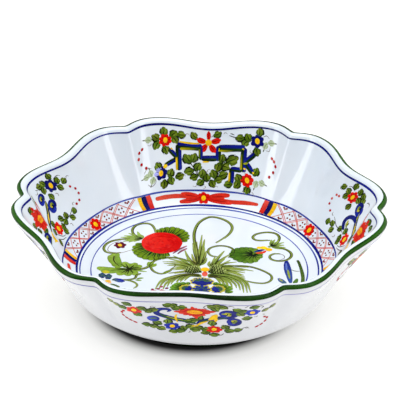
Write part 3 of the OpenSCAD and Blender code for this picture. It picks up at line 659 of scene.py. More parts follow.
# scalloped leaf, bud and tuft at the right
EDGE = [(24.9, 32.6), (28.4, 36.8), (33.0, 38.8), (37.2, 39.4), (42.0, 39.0), (47.0, 37.2), (51.0, 33.0), (52.4, 28.4), (52.4, 23.6), (49.8, 19.4), (47.8, 15.4), (43.0, 12.6), (37.4, 12.6), (32.0, 14.2), (27.4, 18.0), (24.2, 22.0), (23.4, 27.2)]
blob(G, z_floor, 37.6, 26.0, 1.0, (60, 102, 8), h=0.088, sx=12.6, sy=11.4, n=40, grad=(-25, (98, 134, 30)), tone=0.12)
for k, (x, y) in enumerate(EDGE):
    cx_, cy_ = 38.6 + J(0.5), 26.2 + J(0.5); f = 0.5 + (x - 38) / 32.0
    c = tuple(int(u * (1 - f) + v * f) for u, v in zip((54, 96, 6), (98, 134, 30)))
    stroke(G, z_floor, [(cx_ + (x - cx_) * 0.25, cy_ + (y - cy_) * 0.25), (x, y)], [4.0, 6.0, 6.2, 5.4], c, h=0.092 + 0.004 * (k % 3), col2=tuple(min(255, v + 16) for v in c), edge=0.72, step=1.4)
for k, (x, y) in enumerate(EDGE):
    x1, y1 = EDGE[(k + 1) % len(EDGE)]; mx, my = (x + x1) / 2, (y + y1) / 2
    stroke(G, z_floor, [(38.6 + (mx - 38.6) * 0.97, 26.2 + (my - 26.2) * 0.97), (38.6 + (mx - 38.6) * 0.74, 26.2 + (my - 26.2) * 0.74)], [0.9, 0.7, 0.3], (34, 60, 12), h=0.126, step=1.2)
for k in range(15):
    a = 112 + 17.6 * k + J(4); d = 6.6 + 5.4 * max(0.0, math.cos(math.radians(a - 205))) + J(0.8)
    stroke(G, z_floor, [polar(44.0, 28.2, 0.8, a), polar(44.0, 28.2, d, a + J(4))], [1.4, 1.1, 0.3], (24, 38, 12), h=0.13, step=1.5)
stroke(W, z_floor, [(44.4, 31.4), (48.3, 33.7), (53.2, 36.2)], [1.4, 3.2, 2.0], (28, 32, 130), h=0.15)
stroke(W, z_floor, [(46.2, 29.7), (51.6, 30.9), (54.5, 34.0)], [1.4, 3.2, 2.2], (232, 62, 40), h=0.155)
blob(W, z_floor, 48.6, 38.7, 1.9, YEL, h=0.158, sx=1.2); blob(W, z_floor, 52.4, 38.8, 2.5, YEL, h=0.16, sx=1.25, rot=-10); blob(W, z_floor, 56.8, 36.2, 2.6, (252, 190, 10), h=0.165, sx=1.2, rot=-15)
curl(G, [(61, 42), (64, 49), (65, 56.5), (61.4, 62.6), (54, 64.2), (46, 61.4), (42.4, 56), (45, 51.4), (51, 50.8), (57.6, 52)], 2.1)
curl(G, [(61, 40.5), (66, 39.6), (72, 36.5), (76, 31), (76, 25), (72, 19.4), (65, 18), (59.4, 20.6), (58, 25.6), (61.6, 29.6), (67, 30)], 2.1)
stroke(G, z_floor, [(64.5, 31), (69.8, 27.4), (70.4, 22.6), (66.4, 19.6)], [0.3, 0.6, 0.3], (92, 74, 60), h=0.12)
for k, (x, y) in enumerate([(55.5, 40.5), (58.5, 52.5), (61.5, 53), (65.2, 51), (69.5, 48.6), (69.8, 44), (71, 40.2), (68, 37.4)]):
    stroke(G, z_floor, [(58.4, 41.6), ((x + 58.4) / 2 + J(0.6), (y + 41.6) / 2 + J(0.6)), (x, y)], [1.2, 2.7, 3.0, 2.0, 0.9], (118 + int(J(14)), 150 + int(J(10)), 62), h=0.09 + 0.003 * k, col2=OLIVE_L, edge=0.74)
for k in range(8):
    a = -10 + 15 * k + J(4)
    stroke(G, z_floor, [polar(58.4, 41.8, 0.4, a), polar(58.4, 41.8, 6.2 + J(1.6), a + J(4))], [1.0, 0.7, 0.2], (34, 40, 22), h=0.135, step=1.3)
# blue pods and a stem at the far right, and the scrolls that meet them out of sight
stroke(W, z_floor, [(72.4, 19), (72.9, 12), (74.1, 3), (75.6, -6), (77.0, -17)], [2.6, 5.6, 6.2, 5.8, 4.6, 2.6], (26, 38, 140), h=0.12, col2=(56, 84, 160), edge=0.8)
stroke(W, z_floor, [(72.2, 15), (72.7, 9), (73.2, 3)], [0.8, 1.8, 1.2], (96, 118, 200), h=0.14); stroke(W, z_floor, [(74.0, 4), (75.0, -3), (76.2, -10)], [0.9, 2.0, 1.8, 0.9], (150, 164, 60), h=0.15)
stroke(W, z_floor, [(66.4, -9.8), (69.6, -14), (73.5, -19)], [2.6, 4.6, 4.2, 2.4], (50, 66, 170), h=0.12, col2=(70, 112, 100))
stroke(W, z_floor, [(67, -10.6), (70.4, -14.8)], [0.8, 1.7, 0.8], (160, 170, 60), h=0.15)
stroke(G, z_floor, [(82.4, -9.6), (81.0, -15), (79.5, -20)], [1.8, 4.0, 2.2], (84, 124, 44), h=0.10)
stroke(G, z_floor, [(81.6, 20), (83.4, 14), (85.6, 3), (87, -9), (86, -22), (80, -34)], [2.2, 2.6, 3.0, 3.2, 2.8, 1.4], (52, 74, 22), h=0.11, col2=(92, 126, 48))
stroke(G, z_floor, [(76.8, 4.6), (80, 2.4), (84, 2.2)], [0.4, 0.9, 0.6], (84, 90, 56), h=0.10)
for (x, y, c) in ((74, -30, NAVY), (64, -40, RED), (52, -52, (88, 12, 40))):
    flower(W, z_floor, x, y, r=5.2, n=6, col=c)
for (x, y, a) in ((80.5, -26, 20), (70.5, -22.5, 120), (66.5, -32, 200), (71, -38, 320), (57.5, -42, 60), (58, -50, 300), (46, -55, 10), (54, -60, 250), (80, -36, 300)):
    leaf(G, z_floor, x, y, 3.4, a, col=(96, 136, 42))
curl(G, [(70, -36), (66, -48), (56, -58), (44, -62), (34, -58), (33, -50), (40, -46)], 2.0)
# mirror spray out of sight behind the near rim, at the left
for (x, y, c) in ((-62, -46, RED), (-48, -56, NAVY)):
    flower(W, z_floor, x, y, r=5.4, n=6, col=c)
for (x, y, a) in ((-69, -42, 30), (-60, -39, 90), (-54, -48, 200), (-66, -53, 140), (-42, -51, 20), (-44, -63, 300), (-55, -62, 240), (-34, -58, 0)):
    leaf(G, z_floor, x, y, 3.4, a, col=(96, 136, 42))
curl(G, [(-64, -33), (-72, -38), (-75, -46), (-70, -55), (-60, -62), (-48, -66), (-36, -64), (-30, -56)], 2.0)
curl(G, [(-8, -60), (-14, -68), (-10, -77), (0, -80), (10, -76), (12, -68), (6, -64)], 2.2)
for (x, y, a) in ((16, -66, 30), (24, -64, 330), (-20, -66, 200), (20, -74, 280), (-18, -76, 240), (30, -68, 10)):
    leaf(G, z_floor, x, y, 3.6, a, col=(96, 136, 42))

# ------------------------------------------------------------------ banding lines
lines = Piece("painted_lines", "paint_border")
ring(lines, rho_of(90.8), 1.0, (84, 104, 196), tone=0.22, col2=(40, 56, 168))
ring(lines, rho_of(99.9), 1.25, (30, 46, 150), tone=0.2, col2=(84, 102, 190))
ring(lines, RB0, 1.9, (14, 22, 120), tone=0.22, col2=(26, 40, 148))
ring(lines, RB1, 1.5, (22, 34, 142), tone=0.25, col2=(62, 80, 176))
ring(lines, 173.83, 1.65, (20, 30, 136), tone=0.2, col2=(12, 18, 104), wig=0.25)
ring(lines, 192.0, 1.15, (120, 120, 190), tone=0.1, col2=(160, 158, 206), wig=0.5)

# ------------------------------------------------------------------ border band
bl, br = Piece("border_lattice", "paint_border", "border_band"), Piece("border_ribbon", "paint_border", "border_band")
HB = RB1 - RB0                      # band height along the glaze
SEG = 108.0 * math.radians(60)      # length of a sixth
def bars(tc, sgn):
    z = z_band(tc); x = sgn * SEG / 2
    y0, y1 = 1.0, HB - 0.8
    s = 0.35 * sgn
    on, oy, orr = (-0.2, 3.3, -4.6) if sgn > 0 else (-1.6, 1.7, -5.6)
    def bar(o, w, c, c2, bulge, h):
        stroke(br, z, [(x + sgn * o - s, y0), (x + sgn * (o + bulge), HB / 2), (x + sgn * o + s, y1)], [w * 0.9, w, w, w * 0.95], c, h=h, col2=c2, edge=0.85, flat=True, step=1.6)
    bar(oy, 4.9, (244, 180, 8), (252, 210, 34), 0.2, 0.10)
    bar(orr, 4.9, (202, 20, 12), (232, 76, 64), -0.1, 0.105)
    bar(on, 4.5, NAVY, (12, 16, 84), 0.3, 0.12)
    for k in range(6):
        y = 1.8 + k * (HB - 3) / 5.5
        stroke(br, z, [(x + sgn * (oy + 0.2), y), (x + sgn * (oy + 2.8), y + J(1.2))], [0.5, 0.35, 0.2], (222, 150, 20), h=0.135, step=0.8)
def ribbon(tc):
    z = z_band(tc); m = HB / 2
    R1, R2 = (214, 30, 18), (222, 52, 34)
    def rb(pts, w, h, c=R1, c2=R2): stroke(br, z, pts, w, c, h=h, col2=c2, edge=0.84, step=2.0)
    rb([(-45.2, 8.9), (-34, 9.5), (-23, 9.3), (-9, 7.2)], [3.2, 4.0, 4.0, 3.6, 2.8], 0.095, (224, 84, 62), (206, 34, 20))
    rb([(-4, 7.0), (-12, 9.6), (-22.8, 11.3)], [1.6, 4.4, 4.8, 3.2], 0.110); rb([(-4, 6.4), (-13, 4.9), (-24.6, 3.9)], [1.6, 4.2, 5.0, 3.4], 0.118, (202, 16, 10)); rb([(-6, 6.8), (-13, 7.4), (-19, 7.8)], [1.6, 4.0, 2.6], 0.114)
    rb([(45.8, 7.6), (34, 6.6), (22, 5.4), (6, 6.4)], [2.6, 3.8, 4.0, 3.6, 2.8], 0.096, (220, 66, 46), (206, 34, 20))
    rb([(-2, 7.0), (8, 9.8), (19.2, 11.1)], [1.6, 4.4, 5.0, 3.4], 0.111); rb([(-2, 6.4), (9, 4.7), (22.8, 4.5)], [1.6, 4.2, 5.0, 3.6], 0.119, (202, 16, 10)); rb([(0, 6.8), (8, 7.2), (15, 7.8)], [1.6, 4.2, 2.8], 0.115)
    for p in ([(-9, 8.4), (-14, 9.2), (-19, 10.2)], [(-9, 5.8), (-15, 5.0), (-21, 4.6)], [(4, 8.4), (9, 9.0), (14.5, 9.8)], [(4, 5.8), (10, 5.0), (17, 4.8)]):
        stroke(br, z, p, [0.4, 0.8, 0.3], (150, 8, 6), h=0.14)
    flower(br, z, -3.2, m, r=6.3, n=7, col=(208, 12, 6), rot=90, squash=0.98)
def lattice(tc):
    fx = {30: -6.6, 150: 1.9}.get(tc, 0.0)
    z = z_band(tc); x0, x1 = -SEG / 2 + 6.0, SEG / 2 - 6.0
    n = 6; p = (x1 - x0) / n
    def seg(xa, ya, xb, yb, w=0.62):
        c = (204 + int(J(14)), 100 + int(J(16)), 88 + int(J(16)))
        stroke(bl, z, [(xa, ya), ((xa + xb) / 2 + J(0.25), (ya + yb) / 2 + J(0.25)), (xb, yb)], [w, w * 1.1, w * 0.8], c, h=0.085 + 0.01 * (ya > yb), step=2.4, tone=0.2)
    a, b = 0.8, HB - 0.7
    for k in range(n + 1):
        xc = x0 + k * p
        for o in (-0.95, 0.95):
            for (dx, g) in ((p, 1), (-p, 1)):
                # from the bottom edge at xc towards the top at xc+dx
                xa, xb = xc + o, xc + dx + o
                ya, yb = a, b
                if xb > x1:
                    yb = a + (b - a) * (x1 - xa) / (xb - xa) if xb > xa else b; xb = x1
                if xb < x0:
                    yb = a + (b - a) * (xa - x0) / (xa - xb) if xa > xb else b; xb = x0
                if xa < x0 - 0.01 or xa > x1 + 0.01 or abs(xb - xa) < 1.0:
                    continue
                seg(xa + J(0.3), ya, xb + J(0.3), yb)
    # two by two dots in each diamond, fewer in the half diamonds at the edges
    def dd(x, y, k):
        c = (122 + int(J(14)), 0, 12)
        stroke(bl, z, [(x - 0.85, y - 0.2 + J(0.2)), (x, y + J(0.1)), (x + 0.85, y + 0.2 + J(0.2))], [1.5, 1.9, 1.5], c, h=0.12, step=0.6)
    m = HB / 2
    for k in range(n + 1):
        xm = x0 + k * p
        # the strips cross half way up between the columns, so the diamonds sit on the columns
        if 0 < k < n or True:
            if x0 + 1.5 < xm < x1 - 1.5 and abs(xm - fx) > 5.5:
                for (dx, dy) in ((-1.1, 1.2), (1.1, 1.2), (-1.1, -1.2), (1.1, -1.2)):
                    dd(xm + dx * 1.45, m + 0.1 + dy * 1.4, k)
        if k < n:
            xq = xm + p / 2
            for yy in (1.9, HB - 1.9):
                for dx in (-1.5, 0, 1.5):
                    if abs(xq - fx) > 5.5: dd(xq + dx, yy + (0.9 if (dx == 0) == (yy > m) else -0.0) * (-1 if yy > m and dx == 0 else 1), k)
    flower(bl, z, fx, m, r=6.5, n=7, col=(210, 14, 8), rot=rng.uniform(0, 50), squash=0.98)
for k, tc in enumerate((90, 210, 330)):
    ribbon(tc); bars(tc, 1); bars(tc, -1)
for tc in (30, 150, 270):
    lattice(tc)

# ------------------------------------------------------------------ walls
def fret_panel(tc, tag, pale=True):
    """the fretwork panel with its sprays, inside the bowl"""
    g, f = Piece(tag + "_leaves", "paint_green"), Piece(tag + "_flowers", "paint_border")
    z = z_in(tc)
    # fretwork
    fret(f, z, (-27.0, 39.0), (-25.6, 18.8), w=5.2, gold=(-1, 12.0, 0.3), blue=1)
    fret(f, z, (-26.6, 39.2), (-7.8, 39.8), w=6.6, gold=None, blue=1)
    stroke(f, z, [(-26.4, 42.6), (-18, 42.4), (-8.8, 43.0)], [1.2, 1.7, 1.3], YEL, h=0.15, col2=(240, 190, 10))
    stroke(f, z, [(-25.6, 36.4), (-19, 37.0), (-10, 38.0)], [2.4, 2.2, 1.0], (184, 172, 14), h=0.15, col2=(34, 76, 14))
    fret(f, z, (-7.4, 40.2), (-7.0, 29.2), w=3.9, gold=(-1, 3.4, 1.5), kind=1)
    fret(f, z, (-5.6, 29.8), (6.6, 30.2), w=5.6); stroke(f, z, [(-5.4, 26.4), (0.4, 26.8)], [1.3, 1.5, 0.9], YEL, h=0.15)
    fret(f, z, (8.6, 40.6), (8.6, 28.8), w=5.0, blue=-1); stroke(f, z, [(9.2, 39.4), (9.0, 36.4)], [0.9, 1.2], (200, 186, 20), h=0.15)
    fret(f, z, (9.2, 39.8), (29.8, 38.4), w=6.4); stroke(f, z, [(9.8, 37.2), (15, 36.6), (22, 36.4)], [1.9, 2.0, 0.9], (176, 170, 16), h=0.15, col2=(26, 60, 14))
    fret(f, z, (30.6, 37.6), (30.4, 19.4), w=5.6, blue=1); stroke(f, z, [(28.6, 33.5), (28.4, 27), (28.4, 20.0)], [0.8, 1.5, 1.9], (84, 112, 14), h=0.15, col2=(190, 172, 14)); stroke(f, z, [(29.0, 38.6), (30.6, 37.2)], [1.0, 1.5, 0.9], (196, 180, 16), h=0.155)
    fret(f, z, (20.4, 20.4), (28.4, 19.6), w=4.7); fret(f, z, (20.6, 20.0), (20.4, 8.8), w=4.9, gold=(-1, 4.0, 1.6), blue=1)
    fret(f, z, (-34.4, 35.2), (-28.2, 28.8), w=4.2, gold=None, kind=1)
    fret(f, z, (-28.6, 27.2), (-37.4, 22.0), w=4.0, kind=1); stroke(f, z, [(-36.0, 22.2), (-39.2, 20.0)], [2.6, 3.6, 2.6], YEL, h=0.15)
    fret(f, z, (39.6, 33.8), (32.4, 27.2), w=4.4, blue=-1); fret(f, z, (32.8, 25.6), (38.4, 18.6), w=4.6)
    stroke(f, z, [(30.4, 25.2), (34.4, 26.0)], [1.5, 1.9, 1.2], (160, 166, 20), h=0.15); stroke(f, z, [(30.6, 21.4), (32.6, 20.4)], [1.2, 1.6], YEL, h=0.15); stroke(f, z, [(38.8, 19.2), (39.8, 17.6)], [1.6, 2.4], YEL, h=0.15); stroke(f, z, [(-33.4, 36.6), (-31.8, 35.4)], [1.6, 1.2], YEL, h=0.16)
    # leaves
    L = [(-40.2, 50.3, 80), (-46.6, 45.1, 150), (-45.7, 39.1, 240), (-38.1, 34.7, 290), (-31.6, 48.7, 40), (-25, 48.3, 10), (-30, 43.9, 300), (-13.8, 49.5, 130),
         (7.2, 52.3, 20), (42.9, 52.7, 90), (26.7, 47.1, 170), (31.6, 43.1, 230), (33.2, 47.6, 120), (41.2, 36.3, 280), (-18.9, 27.9, 130), (-12.8, 29.5, 70), (-9.8, 21.5, 60), (-17, 17.1, 190),
         (-12.5, 12.3, 200), (-5.3, 15.5, 90), (-6.6, 7.5, 220), (-1, 11.9, 80), (4.1, 6.7, 300), (9.3, 10.7, 20), (4.8, 15.5, 110), (13.2, 14.7, 20), (14.6, 21.9, 340), (12.3, 29.5, 80),
         (20.6, 28.7, 20), (9.2, 22.0, 260), (-43.3, 21.5, 120), (-32.7, 15.1, 80), (-25.1, 12.7, 20), (-31.9, 9.1, 290), (-38.2, 6.3, 260), (26.7, 12.7, 110), (25.5, 7.1, 230), (18.0, 6.4, 190), (41.4, 19.5, 60), (35.2, 3.5, 270)]
    for (x, y, a) in L:
        s = 5.6 if (x, y) == (20.6, 28.7) else (5.0 if (x, y) == (-18.9, 27.9) else (4.4 if abs(x) < 20 and 13 < y < 40 else 3.9))
        leaf(g, z, x, y, s, a + J(8))
    # stalks of the middle spray
    for p in ([(-16.5, 25), (-12, 19), (-9, 14), (-2, 9)], [(-9.8, 20.5), (-9.6, 15)], [(-14.5, 16.5), (-10.5, 13.8)], [(-2, 9), (2, 9.4), (6, 10)], [(18, 27), (12.5, 23), (9.5, 17), (7, 11)], [(12.4, 27.5), (11.6, 22.4)], [(-30, 12.4), (-35, 14), (-38, 15)], [(28, 9.5), (31.5, 10.8)]):
        stroke(g, z, p, [0.8, 0.6, 0.4], VEIN, h=0.14, step=1.6)
    for (x, y, a) in ((-22.6, 12.8, -10), (-10.8, 5.0, 200), (6.6, 3.0, 10), (-20.5, 49, 10), (2.6, 51.6, 190), (13.4, 52.0, 0), (-50.8, 41, 200), (0.2, 17.5, 60), (-3.2, 4.0, 250), (31, 1.6, 240), (39, 1.6, 290), (-28.2, 41.2, 320), (37.6, 35.6, 140), (33.4, 17, 90)):
        tendril(g, z, x, y, a, r=1.1)
    stroke(g, z, [(17.6, 50.6), (21, 49), (25, 47.6)], [0.4, 0.9, 0.7], VEIN, h=0.12); stroke(g, z, [(18.6, 52.4), (22, 50.6)], [0.4, 0.8, 0.3], VEIN, h=0.12)
    stroke(g, z, [(30.6, 1.6), (32.8, 4), (33.4, 7.4)], [0.5, 0.8, 0.5], VEIN, h=0.12)
    for (x, y, a) in ((-52.9, 43.9, 170), (53.8, 45.5, 10), (48.6, 42.0, 250), (-50.5, 16.7, 110), (-54.6, 13.9, 190), (-48.7, 10.3, 250), (47.9, 11.5, 350), (42.3, 9.4, 250)):
        leaf(g, z, x, y, 3.3, a, pale=True)
    for p in ([(-57, 17.5), (-54, 21), (-50, 20.5)], [(-53, 8), (-49.6, 5.6), (-45.8, 8.4), (-46, 12)], [(46, 49), (49, 50.5), (51.5, 48.6)], [(49, 38.4), (52.4, 38.6), (53, 42)]):
        stroke(g, z, p, [0.3, 0.45, 0.25], BROWN, h=0.12, step=1.4)
    # flowers
    flower(f, z, -38.1, 43.1, 5.7, 8, RED); flower(f, z, 41.3, 45.1, 6.3, 6, NAVY); flower(f, z, -41.3, 15.5, 6.2, 6, NAVY, rot=10, pale_side=(2, 3)); flower(f, z, 34.3, 11.5, 6.0, 8, RED)
    star(f, z, -0.6, 44.6, 11.4)
    dots(f, z, [(-58.7, 37.9), (-61.7, 35.9), (-62.4, 31.1), (-59.5, 25.9), (-54.8, 21.9)], pale=(2,)); dots(f, z, [(55.5, 33.5), (58, 31.9), (60.1, 28.7), (58.3, 23.1), (54.6, 18.3)], pale=(0, 1))
    return g, f

def carnation(f, z, x, y, sx=1.0, sy=1.0, lobes=None):
    """a wide ragged red flower with an orange heart"""
    lobes = lobes or [(0, 1.0), (32, 0.74), (62, 0.92), (92, 0.8), (124, 0.95), (155, 0.78), (184, 1.0), (214, 0.76), (246, 0.9), (272, 0.84), (302, 0.96), (332, 0.78)]
    for i, (a, k) in enumerate(lobes):
        d = math.radians(a)
        ex, ey = x + 11.0 * k * math.cos(d) * sx, y + 11.0 * k * math.sin(d) * sy
        stroke(f, z, [(x + math.cos(d) * 1.2, y + math.sin(d) * 1.2), (ex, ey)], [3.6, 5.4, 5.8, 4.6, 2.4], (216, 22 + int(J(10)), 12), h=0.10 + 0.003 * i, col2=(226, 50, 32), edge=0.82, step=1.4)
    for i in range(14):
        a = rng.uniform(0, 360); d = math.radians(a); q = rng.uniform(0.45, 0.8)
        stroke(f, z, [(x + 4.2 * math.cos(d) * sx, y + 4.2 * math.sin(d) * sy), (x + 11 * q * math.cos(d) * sx, y + 11 * q * math.sin(d) * sy)], [0.4, 0.8, 0.3], (190, 16, 10), h=0.142, step=1.2)
    blob(f, z, x, y, lambda a: 3.2 + 0.35 * math.sin(math.radians(5 * a)), (248, 168, 24), h=0.155, sx=sx * 1.05, sy=sy, grad=(60, (250, 176, 30)))
    for k in range(5):
        stroke(f, z, [(x - 2.4 * sx + k * 1.2 * sx, y - 1.4), (x - 1.8 * sx + k * 1.1 * sx, y + 1.2)], [0.4, 0.6, 0.3], (222, 90, 24), h=0.17, step=0.8)

def oval(f, z, x, y, rx, ry, rot, tail=None, w=3.0):
    """a closed scroll: a thick navy ring curling round a green and gold heart"""
    def q(k, a):
        u, v = rx * k * math.cos(math.radians(a)), ry * k * math.sin(math.radians(a))
        c, s_ = math.cos(math.radians(rot)), math.sin(math.radians(rot))
        return (x + u * c - v * s_, y + u * s_ + v * c)
    blob(f, z, x, y, 1.0, (10, 16, 70), h=0.095, sx=rx * 0.9, sy=ry * 0.9, rot=rot, n=28)
    pts = [q(0.74, a) for a in range(-80, 281, 40)]
    stroke(f, z, pts, [w * 0.8, w, w * 1.1, w, w * 0.8], NAVY, h=0.115, col2=(30, 48, 170), edge=0.86, step=1.2)
    stroke(f, z, [q(0.10, 200), q(0.42, 120), q(0.46, 40), q(0.36, -40)], [1.2, 2.0, 1.8, 0.9], (216, 204, 40), h=0.14, col2=(60, 110, 30), step=0.9)
    stroke(f, z, [q(0.2, 260), q(0.24, 80)], [0.6, 1.0, 0.5], (16, 30, 24), h=0.152, step=0.8)

def scroll_panel_in(tc, tag, mirror):
    """the scroll spray on the end walls; mirror turns it the other way round"""
    g, f = Piece(tag + "_leaves", "paint_green"), Piece(tag + "_flowers", "paint_border")
    m = -1.0 if mirror else 1.0
    z = z_in(tc)
    X = lambda x: m * x
    def P(*pts): return [(X(a), b) for a, b in pts]
    def A(a): return a if not mirror else 180 - a
    # the long stem up to the rim, broken by the white of the glaze
    stroke(g, z, P((13.9, 50.4), (12.6, 46.4), (11.0, 42.0)), [0.8, 2.2, 1.3], (112, 128, 78), h=0.10, col2=(86, 104, 60))
    stroke(g, z, P((10.0, 47.6), (9.0, 43.0)), [0.6, 1.1, 0.6], (150, 160, 120), h=0.09)
    stroke(f, z, P((13.6, 44.4), (12.0, 40.6), (10.8, 37.6)), [1.4, 2.6, 1.4], (226, 70, 58), h=0.10, col2=(236, 120, 104))
    # scrolls on one thick stem
    stroke(f, z, P((27.4, 36.6), (25.4, 32.6), (20.6, 27.4), (14.2, 24.0), (7.0, 21.8), (1.0, 20.6)), [1.8, 3.8, 4.6, 4.6, 3.6, 1.8], (26, 52, 52), h=0.09, col2=(40, 70, 40), edge=0.85)
    stroke(f, z, P((27.0, 36.0), (23.8, 30.2), (18.6, 25.6)), [0.8, 1.6, 1.2], (168, 172, 40), h=0.125, col2=(200, 186, 40))
    stroke(f, z, P((19.4, 27.6), (15.4, 24.4), (11.0, 23.0)), [1.0, 2.0, 1.0], (244, 206, 60), h=0.135, col2=(236, 196, 30))
    stroke(f, z, P((24.6, 30.8), (20.4, 26.0), (15.8, 22.6), (9.6, 20.8)), [0.9, 1.3, 1.2, 0.7], NAVY, h=0.14)
    if mirror:
        oval(f, z, -30.2, 38.0, 6.8, 4.8, A(52), w=3.3)
        stroke(f, z, P((30.0, 15.6), (34.6, 18.6), (36.6, 22.6), (34.6, 27.2), (29.6, 29.4), (24.0, 29.2), (17.8, 27.6)), [2.4, 3.6, 4.0, 4.0, 4.2, 3.8, 2.0], NAVY, h=0.115, col2=(24, 38, 130), edge=0.86)
        stroke(f, z, P((32.8, 24.6), (31.4, 21.0), (28.8, 18.8)), [1.4, 2.8, 1.4], (206, 196, 50), h=0.13, col2=(90, 130, 40)); stroke(f, z, P((30.2, 23.6), (29.4, 21.0)), [0.6, 1.2, 0.6], (16, 40, 24), h=0.145)
        stroke(f, z, P((29.6, 34.4), (25.6, 31.6), (20.8, 28.6)), [1.8, 3.6, 2.4], (20, 34, 90), h=0.108, col2=(60, 100, 40))
    else:
        oval(f, z, 24.3, 39.3, 6.2, 3.7, A(30))
        oval(f, z, 31.0, 28.9, 6.8, 4.5, A(38), w=3.4)
        stroke(f, z, P((27.2, 31.6), (26.0, 30.4), (25.6, 28.0)), [2.2, 3.0, 1.6], (20, 34, 110), h=0.11)
    # the wide red flower
    carnation(f, z, X(-3.2), 37.2, 1.05, 1.12)
    stroke(f, z, P((-6.0, 50.6), (-5.0, 46.0)), [2.2, 3.2, 2.2], (214, 30, 20), h=0.13); stroke(f, z, P((4.2, 47.6), (2.8, 43.0)), [1.6, 3.0, 2.2], (222, 60, 46), h=0.13)
    flower(f, z, X(18.8), 12.4, 6.2, 7, RED, squash=1.0)
    if mirror: flower(f, z, -46.2, 42.3, 5.8, 7, RED)
    else: flower(f, z, 43.0, 44.3, 6.6, 6, NAVY)
    # the far half, hidden from most sides
    oval(f, z, X(-10.4), 20.6, 6.4, 4.2, A(12), w=3.2)
    stroke(f, z, P((0.6, 21.5), (-1.4, 15.2), (1.2, 10)), [1.4, 3.2, 1.6], YEL, h=0.13, col2=(236, 180, 10)); stroke(f, z, P((-4, 13), (1, 12.4)), [1.2, 2.4, 1.2], YEL, h=0.135)
    oval(f, z, X(-23.6), 23.2, 7.0, 4.4, A(-8), w=3.4)
    stroke(f, z, P((-4, 19), (-13, 15.4), (-24, 14.4), (-33, 15.6)), [2.0, 2.8, 2.4, 1.2], (26, 52, 52), h=0.088, col2=(60, 96, 40))
    flower(f, z, X(-36.5), 18.6, 5.8, 6, NAVY); flower(f, z, X(-34.0), 42.0, 5.8, 7, RED)
    if mirror:
        L = [(61.6, 46.3, 140), (54.3, 45.1, 30), (54.0, 39.9, 300), (49.5, 52.3, 80), (42.3, 49.7, 70), (36.0, 48.1, 60), (38.1, 43.1, 200), (33.4, 45.1, 240), (43.8, 33.3, 290),
             (53.4, 11.2, 70), (47.0, 12.7, 40), (43.4, 7.3, 300), (34.7, 13.9, 130), (26.2, 16.9, 20), (27.2, 8.6, 250), (13.2, 24.6, 200), (9.6, 18.6, 230), (-7.2, 49.7, 30), (-14.6, 47.7, 350)]
    else:
        L = [(46.1, 52.3, 95), (31.2, 48.9, 170), (36.6, 49.0, 120), (33.4, 43.7, 250), (51.9, 45.7, 60), (57.9, 42.9, 20), (50.6, 38.9, 320), (36.4, 35.7, 290),
             (48.7, 14.9, 60), (43.0, 10.5, 330), (37.5, 15.3, 80), (29.9, 16.5, 160), (32.5, 11.3, 200), (26.2, 9.6, 240), (15.4, 18.8, 120), (9.8, 14.6, 200), (-8.6, 48.9, 60)]
    L += [(25.4, 5.4, 300), (-5.5, 26.0, 180), (-14.6, 30.6, 150), (-16.5, 37.5, 120), (6, 5.6, 260), (-22.4, 31.4, 170), (-27.4, 37.0, 140), (-27.6, 44.6, 110), (-39.4, 48.4, 60), (-41.8, 41.4, 330), (-31.6, 49.8, 110), (-30.2, 30.6, 250), (-43, 23.0, 150), (-42.8, 13.4, 210), (-34.4, 10.6, 260), (-22.6, 14.2, 270), (-48.6, 44.8, 350), (-49.4, 17.4, 180)]
    for (x, y, a) in L:
        leaf(g, z, X(x), y, 3.5 if y > 30 or x < 20 else 3.4, A(a) + J(8))
    for p in ([(40, 47.5), (37.8, 52)], [(27.6, 46.6), (24.8, 48.6)], [(48, 48), (54, 50.2), (57, 49)], [(26, 13), (33, 14), (41, 13.4), (50, 18.4)], [(8, 8), (14, 4), (20, 2.4)], [(10, 12), (17, 5.4), (22, 4)]):
        stroke(g, z, P(*p), [0.4, 0.7, 0.3], VEIN, h=0.12, step=1.4)
    for (x, y, a) in ((42.4, 35.4, 300), (62.6, 44.4, 10), (24.6, 46.6, 190), (52.5, 19.5, 40), (35.6, 6.6, 300), (-19, 28, 180)):
        tendril(g, z, X(x), y, A(a), r=1.2, w=0.5)
    if mirror:
        dots(f, z, [(-60.4, 36.4), (-63.9, 36.0), (-66.3, 30.4), (-65.4, 25.0), (-59.4, 20.4)], pale=(0, 1, 2))
    else:
        dots(f, z, [(60.5, 35.9), (64.6, 31.7), (65.0, 26.3), (61.2, 20.5), (56.0, 18.9)], pale=())
    dots(f, z, P((-54.5, 40), (-57.6, 35.4), (-58.4, 30), (-56.6, 25), (-52.4, 21.4)), pale=(2,))
    return g, f

